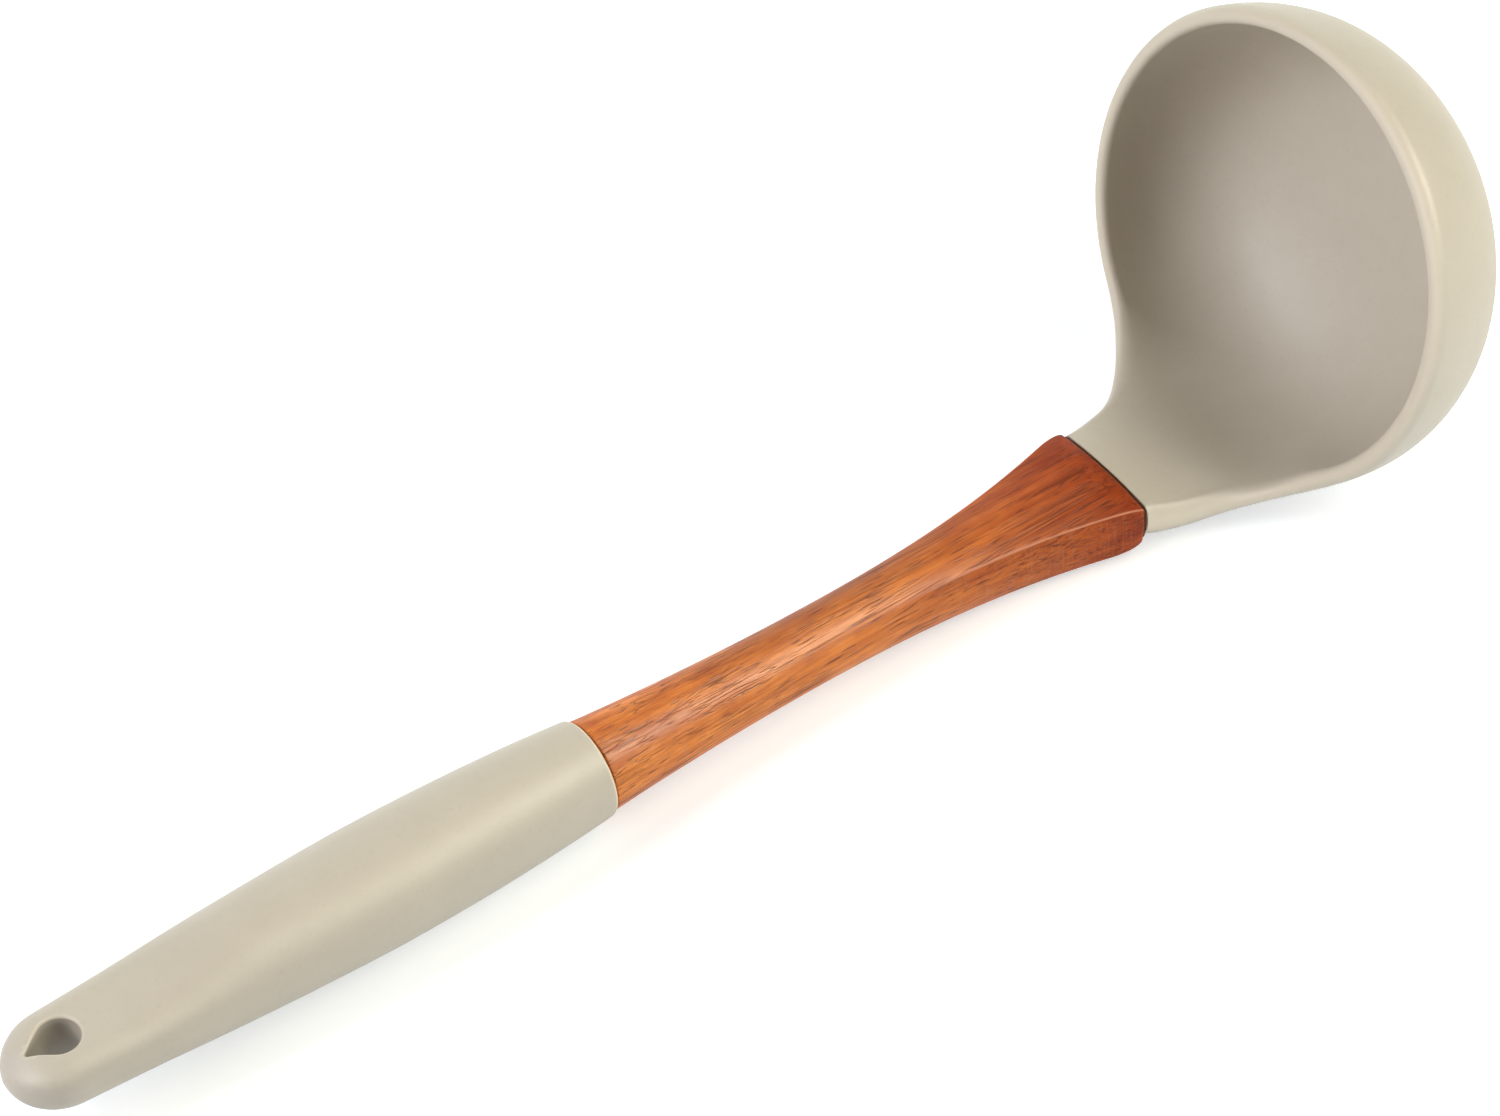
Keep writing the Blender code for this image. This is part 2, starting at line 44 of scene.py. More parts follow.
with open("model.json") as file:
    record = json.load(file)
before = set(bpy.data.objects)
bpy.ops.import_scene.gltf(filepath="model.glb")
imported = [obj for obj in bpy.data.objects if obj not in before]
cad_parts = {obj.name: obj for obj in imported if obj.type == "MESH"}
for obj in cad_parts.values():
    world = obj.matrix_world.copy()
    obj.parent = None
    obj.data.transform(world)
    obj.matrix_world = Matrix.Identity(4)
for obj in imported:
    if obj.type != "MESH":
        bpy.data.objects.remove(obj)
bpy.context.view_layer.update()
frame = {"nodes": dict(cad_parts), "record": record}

# Shape of the curves between the sizes
SWELL_RISE_POWER = 1.4
SWELL_FALL_POWER = 1.8
TAPER_POWER = 2.0
FLARE_POWER = 3.0
FLARE_CORNER_ROUNDNESS = 0.98
NECK_COLUMN_PINCH = 0.25
BOWL_BASE_SHARE = 0.8
HOLE_LIP_START = math.radians(14.0)

# Where the four arcs of a circle meet, as a share of its radius
ROUND_CORNER = math.sqrt(0.5)

# Mesh fineness
GRIP_COLUMNS = 96
NOSE_STEPS = 30
GRIP_STEPS = 90
EDGE_STEPS = 6
HOLLOW_STEPS = 24
HOLE_TIP_STEPS = 10
HOLE_SIDE_STEPS = 8
HOLE_ROUND_STEPS = 40
HOLE_LIP_STEPS = 6
SHANK_TOP_STEPS = 26
SHANK_SIDE_STEPS = 16
TAPER_STEPS = 36
FLARE_STEPS = 56
CORNER_STEPS = 12
RIDGE_STEPS = 3
ROD_STEPS = 48
LIP_STEPS = 6
FINE_HEAD = {"end": 10, "side": 4, "fillet": 24, "rim_side": 20, "rim_top": 44, "bowl": 22, "neck": 40}
COARSE_HEAD = {"end": 8, "side": 4, "fillet": 8, "rim_side": 6, "rim_top": 12, "bowl": 6, "neck": 12}
SMOOTH_ANGLE = math.radians(38.0)

# How far a cutting tool passes the surface that it cuts
OVERSHOOT = 0.002

# Cut points nearer than this are one point
WELD = 0.000002

# Mesh attribute: up to 1 for painted highlight on edges, -1 for painted shade on the hanging hole's wall
PAINTED_LIGHT_LAYER = "pale_edge"
HOLE_WALL_SHADE = -1.0

# Painted light round the hanging hole: how upright its wall (painted shade) and its lip (painted highlight)
# face at most, how strong the lip's painted highlight is, how far the marks reach in lip widths, and how
# far along the grip they are looked for in hole reaches
HOLE_WALL_FACING = 0.15
HOLE_LIP_FACING = 0.97
HOLE_LIP_HIGHLIGHT = 0.4
HOLE_MARK_REACH = 1.2
HOLE_SEARCH_REACH = 2.0

# Share of the flare over which the painted highlight on the sanded ridges fades in
RIDGE_FADE = 0.5

# Silicone: noise cells per metre, the range of each noise that shows, and the bump's strength and depth
MOTTLE_CELLS = 130.0
MOTTLE_RANGE = (0.35, 0.65)
MOTTLE_SHARE = 0.35
SPECK_CELLS = 1100.0
SPECK_RANGE = (0.58, 0.72)
SPECK_SHARE = 0.5
DUST_CELLS = 400.0
SILICONE_ROUGHNESS = (0.50, 0.54)
SILICONE_GRAIN_CELLS = 2600.0
SILICONE_BUMP = (0.12, 0.00005)

# Wood: noise cells per metre on each axis, the range of each noise that shows, and the bump as above
BAND_CELLS = (7.0, 170.0, 170.0)
STREAK_CELLS = (26.0, 620.0, 620.0)
RIBBON_CELLS = (120.0, 240.0, 240.0)
RIBBON_SHARE = 0.8
FIGURE_RANGE = (1.06, 1.60)
FIBRE_CELLS = (60.0, 1900.0, 1900.0)
FIBRE_RANGE = (0.45, 0.68)
FIBRE_SHARE = 0.5
FIBRE_RELIEF = 0.2
FLECK_CELLS = (2000.0, 600.0, 150.0)
FLECK_RANGE = (0.48, 0.72)
FLECK_FACING = (0.8, 0.97)
FLECK_SHARE = 0.3
LONG_LINE_CELLS = (12.0, 700.0, 700.0)
LONG_LINE_WIDTH = 0.030
FINE_LINE_CELLS = (24.0, 1500.0, 1500.0)
FINE_LINE_WIDTH = 0.045
BREAK_CELLS = (60.0, 420.0, 420.0)
BREAK_RANGE = (0.42, 0.56)
PORE_CELLS = (150.0, 2600.0, 2600.0)
PORE_RANGE = (0.63, 0.71)
PORE_SHARE = 0.75
WOOD_ROUGHNESS = (0.38, 0.48)
WOOD_SHINE = (0.3, 0.1)
WOOD_BUMP = (0.5, 0.00008)

# Share of the shank at which the wood starts to deepen, and the painted shade streak round that place
DEEP_START_SHARE = 0.45
SHADE_STREAK_REACH = (0.012, 0.034)
SHADE_STREAK_FACING = (-0.35, 0.45)
SHADE_STREAK_SHARE = 0.5

# Middle range of a noise, stretched over a whole range of roughness or colour
MIDDLE_RANGE = (0.3, 0.7)

# Floor: distances between which its lift rises to white
FLOOR_LIFT_REACH = (0.25, 0.9)
WHITE = (1.0, 1.0, 1.0, 1.0)

# Camera
SENSOR_WIDTH = 36.0
CLIP_START = 0.01
CLIP_END = 50.0

# Where the lamps aim, and how far off they stand
LAMP_TARGET = Vector((0.02, 0.0, 0.02))
LAMP_DISTANCE = 1.1

# Lamps: degrees from +X and above the floor, width, colour, whether they light, whether they are reflected
LAMPS = {
    "key": (156.0, 38.0, 0.45, (0.90, 0.94, 1.0), True, True),
    "end": (172.0, 20.0, 0.35, (1.0, 0.88, 0.92), True, True),
    "side": (-45.0, 45.0, 0.60, (1.0, 0.95, 0.70), True, True),
    "shine": (-45.0, 45.0, 0.50, (1.0, 0.95, 0.80), False, True),
    "bowl_shine": (188.0, 32.0, 0.35, (1.0, 1.0, 1.0), False, True),
    "high": (-20.0, 62.0, 0.60, (1.0, 0.92, 0.70), True, True),
    "low": (-70.0, 13.0, 0.40, (0.88, 0.92, 1.0), True, False),
    "back": (50.0, 19.0, 0.60, (0.86, 0.94, 1.0), True, False),
}


def numeric(name, description, default, **options):
    return FloatProperty(name=name, description=description, default=default, **options)


def metres(name, description, default):
    return numeric(name, description, default, min=0.0, precision=5, unit="LENGTH")


def factor(name, description, default):
    return numeric(name, description, default, min=0.0, max=1.0, subtype="FACTOR")


def watts(name, description, default):
    return numeric(name, description, default, min=0.0, unit="POWER")


def tint(name, description, *rgb):
    return FloatVectorProperty(name=name, description=description, default=(*rgb, 1.0), size=4, min=0.0,
                               max=1.0, subtype="COLOR")


class LadleGripSizes(PropertyGroup):
    """Sizes of the silicone grip, from its tip"""
    length: metres("Length", "From the tip to the joint with the wood", 0.1142)
    end_radius: metres("Joint radius", "Radius at the joint with the wood", 0.0090)
    swell_place: metres("Swell place", "Where the grip is widest", 0.0700)
    swell_width: metres("Swell width", "Greatest width", 0.0228)
    swell_flatness: factor("Swell flatness", "Height over width at the swell", 0.900)
    nose_width: metres("Nose width", "Width of the flat nose", 0.0172)
    nose_length: metres("Nose length", "Length of the rounded tip", 0.0095)
    nose_squareness: numeric("Nose squareness", "2 is an oval section", 2.8, min=2.0, max=6.0)
    nose_blend: metres("Nose blend", "Length over which the nose turns oval", 0.0300)
    cheek_thickness: metres("Cheek thickness", "Between the two flat cheeks", 0.0108)
    cheek_crown: metres("Cheek crown", "How far the section would pass the cheeks", 0.00045)
    cheek_past_hole: metres("Cheek past hole", "Flat land behind the hole", 0.0040)
    edge_rounding: metres("Edge rounding", "Rounding of the rim at the joint", 0.0006)
    wall: metres("Sleeve wall", "Silicone over the core", 0.0025)
    hole_radius: metres("Hole radius", "Round end of the hanging hole", 0.0038)
    hole_point_reach: metres("Hole reach", "From the round end's centre to the point", 0.0065)
    hole_point_radius: metres("Hole point radius", "Rounding of the point", 0.0005)
    hole_tip_wall: metres("Hole tip wall", "Silicone between the tip and the point", 0.0039)
    hole_to_core: metres("Hole to core", "Silicone between the hole and the core", 0.0063)
    hole_lip: metres("Hole lip", "Rounding round the hole", 0.00055)


class LadleShankSizes(PropertyGroup):
    """Sizes of the wooden shank, from the grip to the neck"""
    length: metres("Length", "Between the two joints", 0.1103)
    start_radius: metres("Start radius", "Radius at the grip", 0.00845)
    waist_radius: metres("Waist radius", "Smallest radius", 0.00663)
    waist_place: metres("Waist place", "From the grip to the waist", 0.0480)
    flare_spread: metres("Flare spread", "Added half width at the neck", 0.0061)
    corner_length: metres("Corner length", "Length of the rounded end", 0.0065)
    corner_drop: metres("Corner drop", "Half width lost at the end", 0.0010)
    top_drop: metres("Top drop", "Half height lost at the end", 0.0021)
    side_flatness: factor("Side flatness", "How near the ridges are to the sides", 0.976)
    top_flatness: factor("Top flatness", "How near the ridges are to the top", 0.79)
    ridge_rounding: metres("Ridge rounding", "Width sanded off a ridge", 0.0003)
    edge_rounding: metres("Edge rounding", "Rounding of the end edges", 0.0003)
    peg_length: metres("Peg length", "Peg of the grip core in the wood", 0.0320)
    peg_radius: metres("Peg radius", "Radius of that peg", 0.0036)
    tang_length: metres("Tang length", "Tang of the head core in the wood", 0.0363)
    tang_width: metres("Tang width", "Width of that tang", 0.0076)
    tang_thickness: metres("Tang thickness", "Thickness of that tang", 0.0034)
    glue_thickness: metres("Glue thickness", "Glue on the peg and on the tang", 0.0004)
    glue_clearance: metres("Glue clearance", "Clearance on each face of the glue", 0.0002)


class LadleHeadSizes(PropertyGroup):
    """Sizes of the silicone head: bowl, lip and neck"""
    joint_line: metres("Joint line", "Gap between the wood and the neck", 0.0006)
    neck_length: metres("Neck length", "From the joint to the foot of the rim", 0.0214)
    neck_width: metres("Neck width", "Width at the joint", 0.0242)
    neck_thickness: metres("Neck thickness", "Thickness at the joint", 0.0090)
    neck_crown: metres("Neck crown", "Height of the neck's crowned faces", 0.0008)
    neck_fillet: metres("Neck fillet", "Radius between the neck and the rim", 0.0125)
    neck_spread: metres("Neck spread", "Half width that the neck gains on the way to the rim", 0.0054)
    neck_root: metres("Neck root", "How far the neck thickens the bowl", 0.0160)
    neck_inlet: metres("Neck inlet", "How far the neck's upper face runs into the bowl", 0.0140)
    neck_end_rounding: metres("Neck end rounding", "Rounding at the joint", 0.00025)
    bowl_width: metres("Bowl width", "Outer width across the handle", 0.0882)
    bowl_height: metres("Bowl height", "Outer height of the rim", 0.0842)
    bowl_depth: metres("Bowl depth", "Outer depth behind the rim", 0.0327)
    bowl_fullness: numeric("Bowl fullness", "2 is half an ellipse", 2.4, min=2.0, max=4.0)
    bowl_tilt: numeric("Bowl tilt", "Lean of the rim away from the handle", math.radians(17.0),
                       subtype="ANGLE")
    rim_foot_height: metres("Rim foot height", "Inner rim above the handle's axis", 0.0018)
    wall: metres("Wall", "Thickness of the bowl's wall", 0.0033)
    inner_lip: metres("Inner lip", "Rounding of the lip on the inside", 0.0012)
    outer_lip: metres("Outer lip", "Rounding of the lip on the outside", 0.0020)
    joint_softness: numeric("Joint softness", "Lip width at the joint, times the rim's", 1.3, min=0.0)
    neck_softness: numeric("Neck softness", "Lip width on the neck, times the rim's", 2.6, min=0.0)
    skin: metres("Skin", "Silicone over the core", 0.0006)
    core_rim_band: metres("Core rim band", "Silicone between the lip and the core", 0.0030)


class LadleFinishes(PropertyGroup):
    """Colours of the ladle"""
    silicone: tint("Silicone", "Matte silicone", 0.560, 0.502, 0.406)
    silicone_shade: tint("Silicone mottle", "Darker mottling", 0.510, 0.456, 0.366)
    # Painted highlight on thin edges: the bowl's lip, the grip's rim at the joint and the lip of the hanging
    # hole
    silicone_highlight: tint("Silicone edges", "Thin edges, paler", 0.750, 0.660, 0.510)
    # Painted shade on the wall of the hanging hole
    silicone_hole_shade: tint("Silicone in the hole", "Dull wall of the hanging hole", 0.410, 0.365, 0.295)
    wood_light: tint("Light wood", "Pale streaks of the grain", 0.810, 0.265, 0.052)
    wood_dark: tint("Dark wood", "Dark streaks of the grain", 0.420, 0.088, 0.016)
    wood_deep_light: tint("Deep light wood", "Pale streaks at the flare", 0.385, 0.057, 0.009)
    wood_deep_dark: tint("Deep dark wood", "Dark streaks at the flare", 0.212, 0.024, 0.004)
    wood_fleck: tint("Wood flecks", "Cross flecks on the sides", 0.480, 0.200, 0.110)
    # Pore colour, also used for the painted shade streak on the +Y flank
    wood_pore_and_shade: tint("Wood pores", "Open pores", 0.095, 0.018, 0.005)
    # Painted highlight on the sanded ridges
    wood_ridge_highlight: tint("Worn ridges", "Sanded ridges of the wood", 0.540, 0.195, 0.100)
    nylon: tint("Core", "Moulded core", 0.230, 0.205, 0.170)
    glue: tint("Glue", "Cured glue", 0.060, 0.026, 0.008)


class LadleStage(PropertyGroup):
    """Camera, lights and floor"""
    camera_place: FloatVectorProperty(name="Camera place", description="Where the camera stands",
                                      default=(-0.34873, -0.5325, 0.72704), subtype="TRANSLATION",
                                      unit="LENGTH", precision=5)
    camera_turn: FloatVectorProperty(name="Camera turn", description="How the camera is turned",
                                     default=(math.radians(42.7507), math.radians(2.3376),
                                              math.radians(-35.9086)), subtype="EULER")
    lens: numeric("Lens", "Focal length", 134.4, min=1.0, unit="CAMERA")
    floor_size: metres("Floor size", "Side of the square floor", 4.0)
    floor_colour: tint("Floor", "Pale floor", 0.75, 0.79, 0.84)
    floor_lift: factor("Floor lift", "White added to the floor as the camera sees it", 0.50)
    world_strength: numeric("Ambient", "Even light from all sides", 0.02, min=0.0)
    key_power: watts("Key light", "Lamp at the left, into the bowl", 7.0)
    end_power: watts("End light", "Lamp low beyond the grip", 2.3)
    side_power: watts("Side light", "Lamp at the right", 4.2)
    high_power: watts("High light", "Lamp high over the bowl", 2.3)
    shine_power: watts("Shine", "Gloss of the side light along the shank", 17.0)
    bowl_shine_power: watts("Bowl shine", "Gloss inside the bowl", 8.0)
    low_power: watts("Low light", "Lamp low in front, on the outside of the bowl", 5.9)
    back_power: watts("Back light", "Lamp low behind the ladle", 7.6)


class LadleSettings(PropertyGroup):
    """Everything that can be set on the ladle"""
    fit_gap: metres("Fit gap", "Gap between pieces that touch", 0.0003)
    grip: PointerProperty(type=LadleGripSizes)
    shank: PointerProperty(type=LadleShankSizes)
    head: PointerProperty(type=LadleHeadSizes)
    finish: PointerProperty(type=LadleFinishes)
    stage: PointerProperty(type=LadleStage)


# Small helpers

def ease(share):
    """Rise smoothly from 0 to 1 as share does, and hold outside."""
    share = min(max(share, 0.0), 1.0)
    return share * share * (3.0 - 2.0 * share)


def blend(first, second, share):
    return first + (second - first) * share


def steps_between(first, last, count):
    """Even steps from first to last, both included."""
    return [blend(first, last, step / count) for step in range(count + 1)]


def rounded_edge(radius, turns):
    """Quarter round between two faces, as (inset, depth) pairs."""
    return [(radius * (1.0 - math.sin(turn)), radius * (1.0 - math.cos(turn))) for turn in turns]


def corner_inset(distance, rounding):
    """How far a rounded edge falls back at a distance from the face that it ends in."""
    if distance >= rounding:
        return 0.0
    return rounding - math.sqrt(max(0.0, rounding ** 2 - (rounding - distance) ** 2))


def corner_stations(start, end, steps):
    """Stations that crowd towards the end of a rounded edge."""
    return [start + (end - start) * math.sin(math.pi / 2.0 * step / steps) for step in range(1, steps + 1)]


def settings():
    return bpy.context.scene.soup_ladle


def shank_start(ladle):
    return ladle.grip.length + ladle.fit_gap


def shank_end(ladle):
    return shank_start(ladle) + ladle.shank.length


def hole_centre(grip):
    return grip.hole_tip_wall + grip.hole_point_reach


def rest_place(ladle):
    """Matrix that lays the handle frame at rest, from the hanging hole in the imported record."""
    hole = next(mount for mount in frame["record"]["mounts"] if mount["name"] == "hanging_hole")
    turn = math.atan2(hole["axis"][0], hole["axis"][2])
    to_hole = Matrix.Translation((-hole_centre(ladle.grip), 0.0, 0.0))
    return Matrix.Translation(hole["pos_m"]) @ Matrix.Rotation(turn, 4, "Y") @ to_hole


# Mesh helpers

def start_ring(bm, places):
    ring = bmesh.ops.create_circle(bm, segments=len(places), radius=1.0)["verts"]
    for vert, place in zip(ring, places):
        vert.co = place
    return ring


def ring_edges(bm, ring):
    return [bm.edges.get((ring[i - 1], ring[i])) for i in range(len(ring))]


def next_ring(bm, ring, places):
    """Extrude a ring of edges and move the new vertices to their places."""
    made = bmesh.ops.extrude_edge_only(bm, edges=ring_edges(bm, ring))["geom"]
    fresh = {item for item in made if isinstance(item, bmesh.types.BMVert)}
    following = []
    for vert, place in zip(ring, places):
        partner = next(e.other_vert(vert) for e in vert.link_edges if e.other_vert(vert) in fresh)
        partner.co = place
        following.append(partner)
    return following


def loft(rings, first_point=None, last_point=None, painted_light_share=None):
    """Skin a list of rings into a closed body; an end is flat unless a point is given for it.

    The last argument gives each ring's painted highlight, from 0 to 1; below 0 it gives painted shade
    instead.
    """
    bm = bmesh.new()
    pale_edge = bm.verts.layers.float.new(PAINTED_LIGHT_LAYER)
    first = start_ring(bm, rings[0])
    last = first
    for places in rings[1:]:
        last = next_ring(bm, last, places)
    if painted_light_share is not None:
        for number, vert in enumerate(bm.verts):
            vert[pale_edge] = painted_light_share[number // len(first)]
    for ring, point in ((first, first_point), (last, last_point)):
        if point is None:
            bmesh.ops.contextual_create(bm, geom=ring_edges(bm, ring))
        else:
            bmesh.ops.pointmerge(bm, verts=ring, merge_co=point)
    bmesh.ops.recalc_face_normals(bm, faces=bm.faces)
    return bm


def block(low, high):
    bm = bmesh.new()
    place = Matrix.Translation((low + high) / 2.0) @ Matrix.Diagonal((*(high - low), 1.0))
    bmesh.ops.create_cube(bm, size=1.0, matrix=place)
    return bm


def rod(start, end, radius):
    """A round bar along the handle."""
    bm = bmesh.new()
    middle = Matrix.Translation(((start + end) / 2.0, 0.0, 0.0))
    bmesh.ops.create_cone(bm, cap_ends=True, segments=ROD_STEPS, radius1=radius, radius2=radius,
                          depth=end - start, matrix=middle @ Matrix.Rotation(math.pi / 2.0, 4, "Y"))
    return bm


def new_piece(name, bm, place):
    """Object at the origin whose mesh is laid at rest."""
    bm.transform(place)
    mesh = bpy.data.meshes.new(name)
    bm.to_mesh(mesh)
    bm.free()
    piece = bpy.data.objects.new(name, mesh)
    bpy.context.scene.collection.objects.link(piece)
    return piece


def work(piece, place, *tools):
    """Join or cut tools into a piece, given as (operation, mesh) pairs in the handle frame."""
    helpers = []
    for number, (operation, bm) in enumerate(tools):
        helper = new_piece(f"{piece.name}_tool_{number}", bm, place)
        modifier = piece.modifiers.new(helper.name, "BOOLEAN")
        modifier.operation = operation
        modifier.solver = "EXACT"
        modifier.object = helper
        helpers.append(helper)
    graph = bpy.context.evaluated_depsgraph_get()
    worked = bpy.data.meshes.new_from_object(piece.evaluated_get(graph))
    if not worked.polygons:
        raise RuntimeError(f"nothing is left of {piece.name} after its cuts")
    bm = bmesh.new()
    bm.from_mesh(worked)
    bmesh.ops.remove_doubles(bm, verts=bm.verts, dist=WELD)
    bm.to_mesh(worked)
    bm.free()
    piece.modifiers.clear()
    piece.data = worked
    worked.name = piece.name
    for helper in helpers:
        tool_mesh = helper.data
        bpy.data.objects.remove(helper)
        bpy.data.meshes.remove(tool_mesh)


def finish_piece(piece, material, slot, *nodes):
    """Smooth a piece, give it its material and put it in the place of its CAD nodes."""
    mesh = piece.data
    mesh.shade_smooth()
    mesh.set_sharp_from_angle(angle=SMOOTH_ANGLE)
    mesh.materials.clear()
    mesh.materials.append(material)
    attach(piece, "root")
    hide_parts(*nodes)


# Grip

def nose_share(grip, x):
    """1 on the flattened nose round the hanging hole, 0 on the oval body of the grip."""
    cheek_end = hole_centre(grip) + grip.hole_radius + grip.cheek_past_hole
    return 1.0 - ease((x - cheek_end) / grip.nose_blend)


def grip_half_width(grip, x):
    swell = grip.swell_width / 2.0
    if x < grip.swell_place:
        share = (grip.swell_place - x) / (grip.swell_place - grip.nose_length)
        return swell - (swell - grip.nose_width / 2.0) * share ** SWELL_RISE_POWER
    share = (x - grip.swell_place) / (grip.length - grip.swell_place)
    return swell - (swell - grip.end_radius) * share ** SWELL_FALL_POWER


def grip_half_height(grip, x):
    towards_joint = ease((x - grip.swell_place) / (grip.length - grip.swell_place))
    body = grip_half_width(grip, x) * blend(grip.swell_flatness, 1.0, towards_joint)
    return blend(body, grip.cheek_thickness / 2.0 + grip.cheek_crown, nose_share(grip, x))


def grip_section(grip, x, inset):
    """Half width, half height, cheek height and squareness of the grip's section at x."""
    tip = math.sqrt(max(0.0, 1.0 - (1.0 - min(x / grip.nose_length, 1.0)) ** 2))
    half_width = grip_half_width(grip, x) * tip - inset
    half_height = grip_half_height(grip, x) * tip - inset
    cheek = grip.cheek_thickness / 2.0 + grip_half_height(grip, x) * (1.0 - nose_share(grip, x))
    return half_width, half_height, cheek, blend(2.0, grip.nose_squareness, nose_share(grip, x))


def grip_ring(grip, x, inset=0.0):
    half_width, half_height, cheek, squareness = grip_section(grip, x, inset)
    power = 2.0 / squareness
    ring = []
    for column in range(GRIP_COLUMNS):
        angle = math.tau * (column + 0.5) / GRIP_COLUMNS
        y = half_width * math.copysign(abs(math.cos(angle)) ** power, math.cos(angle))
        z = half_height * math.copysign(abs(math.sin(angle)) ** power, math.sin(angle))
        ring.append(Vector((x, y, max(-cheek, min(cheek, z)))))
    return ring


def grip_height_at(grip, x, y):
    """Height of the grip's upper face over a point of its middle plane."""
    half_width, half_height, cheek, squareness = grip_section(grip, x, 0.0)
    share = min(abs(y) / half_width, 1.0)
    return min(cheek, half_height * (1.0 - share ** squareness) ** (1.0 / squareness))


def grip_body(grip):
    nose = [grip.nose_length * (1.0 - math.cos(math.pi / 2.0 * step / NOSE_STEPS))
            for step in range(1, NOSE_STEPS + 1)]
    edge = grip.length - grip.edge_rounding
    stations = nose + steps_between(grip.nose_length, edge, GRIP_STEPS)[1:]
    stations += corner_stations(edge, grip.length, EDGE_STEPS)
    rings = [grip_ring(grip, x, corner_inset(grip.length - x, grip.edge_rounding)) for x in stations]
    # The rounded rim at the joint gets a painted highlight
    painted_light_share = [1.0 if x > edge else 0.0 for x in stations]
    return loft(rings, first_point=Vector((0.0, 0.0, 0.0)), painted_light_share=painted_light_share)


def core_hollow(grip):
    """Room for the grip's core, open at the joint."""
    start = hole_centre(grip) + grip.hole_radius + grip.hole_to_core
    rings = [grip_ring(grip, x, grip.wall) for x in steps_between(start, grip.length, HOLLOW_STEPS)[:-1]]
    mouth = grip_ring(grip, grip.length, grip.wall)
    rings.append([spot + Vector((OVERSHOOT, 0.0, 0.0)) for spot in mouth])
    return loft(rings)


def hole_outline(grip, grow):
    """Teardrop round two circles, as (x, y) pairs, grown outwards."""
    big = grip.hole_radius
    small = grip.hole_point_radius
    centre = hole_centre(grip)
    slope = math.asin(big / grip.hole_point_reach)
    point = centre - (big - small) / math.sin(slope)
    turn = math.pi / 2.0 - slope

    def arc(middle, radius, angles):
        return [(middle + radius * math.cos(angle), radius * math.sin(angle)) for angle in angles]

    def side(first, last):
        shares = steps_between(0.0, 1.0, HOLE_SIDE_STEPS)[1:-1]
        return [(blend(first[0], last[0], share), blend(first[1], last[1], share)) for share in shares]

    tip_angles = [math.pi + angle for angle in steps_between(-turn, turn, HOLE_TIP_STEPS)]
    tip = arc(point, small + grow, tip_angles)
    end = arc(centre, big + grow, steps_between(-math.pi + turn, math.pi - turn, HOLE_ROUND_STEPS))
    return tip + side(tip[-1], end[0]) + end + side(end[-1], tip[0])


def hanging_hole(grip):
    """Cutter for the hanging hole, flared at both ends so that it leaves a rounded lip."""
    lip = grip.hole_lip
    edge = rounded_edge(lip, steps_between(HOLE_LIP_START, math.pi / 2.0, HOLE_LIP_STEPS))
    first_grow, first_drop = edge[0]
    flare = (first_grow + lip * math.cos(HOLE_LIP_START), first_drop - lip * math.sin(HOLE_LIP_START))
    outside = (flare[0] + lip, flare[1] - OVERSHOOT)
    upper = [[Vector((x, y, grip_height_at(grip, x, y) - drop)) for x, y in hole_outline(grip, grow)]
             for grow, drop in [outside, flare] + edge]
    lower = [[Vector((place.x, place.y, -place.z)) for place in ring] for ring in reversed(upper)]
    return loft(upper + lower)


def mark_hole(mesh, grip, place):
    """Mark the hanging hole's rounded lip for painted highlight and its wall for painted shade, by vertex
    facing.
    """
    axis = place.to_3x3() @ Vector((0.0, 0.0, 1.0))
    to_handle = place.inverted()
    outline = [Vector(point) for point in hole_outline(grip, 0.0)]
    for vert, mark in zip(mesh.vertices, mesh.attributes[PAINTED_LIGHT_LAYER].data):
        spot = (to_handle @ vert.co).xy
        if abs(spot.x - hole_centre(grip)) > HOLE_SEARCH_REACH * grip.hole_point_reach:
            continue
        if min((spot - point).length for point in outline) > HOLE_MARK_REACH * grip.hole_lip:
            continue
        upright = abs(vert.normal.dot(axis))
        if upright < HOLE_WALL_FACING:
            mark.value = HOLE_WALL_SHADE
        elif upright < HOLE_LIP_FACING:
            mark.value = HOLE_LIP_HIGHLIGHT


class LADLE_OT_grip(Operator):
    """Make the silicone grip with its hanging hole"""
    bl_idname = "ladle.grip"
    bl_label = "Grip"

    def execute(self, context):
        ladle = settings()
        place = rest_place(ladle)
        piece = new_piece("silicone_grip", grip_body(ladle.grip), place)
        work(piece, place, ("DIFFERENCE", core_hollow(ladle.grip)), ("DIFFERENCE", hanging_hole(ladle.grip)))
        mark_hole(piece.data, ladle.grip, place)
        finish_piece(piece, silicone_material(ladle.finish), "silicone", "grip_sleeve")
        return {"FINISHED"}

# Wooden shank

def arc_points(half_span, crown_height, crown, steps):
    """Points of a shallow arc over a span, from one corner up to the next one, as (along, height)."""
    radius = (half_span ** 2 + crown ** 2) / (2.0 * crown)
    sweep = math.atan2(half_span, radius - crown)
    points = []
    for angle in steps_between(-sweep, sweep, steps)[:-1]:
        points.append((radius * math.sin(angle), crown_height - radius * (1.0 - math.cos(angle))))
    return points


def shank_end_fall(ladle, x):
    """0 up to the rounded end of the shank and 1 on its end face, along a quarter ellipse."""
    share = min(max(1.0 - (shank_end(ladle) - x) / ladle.shank.corner_length, 0.0), 1.0)
    return 1.0 - math.sqrt(max(0.0, 1.0 - share * share * FLARE_CORNER_ROUNDNESS))


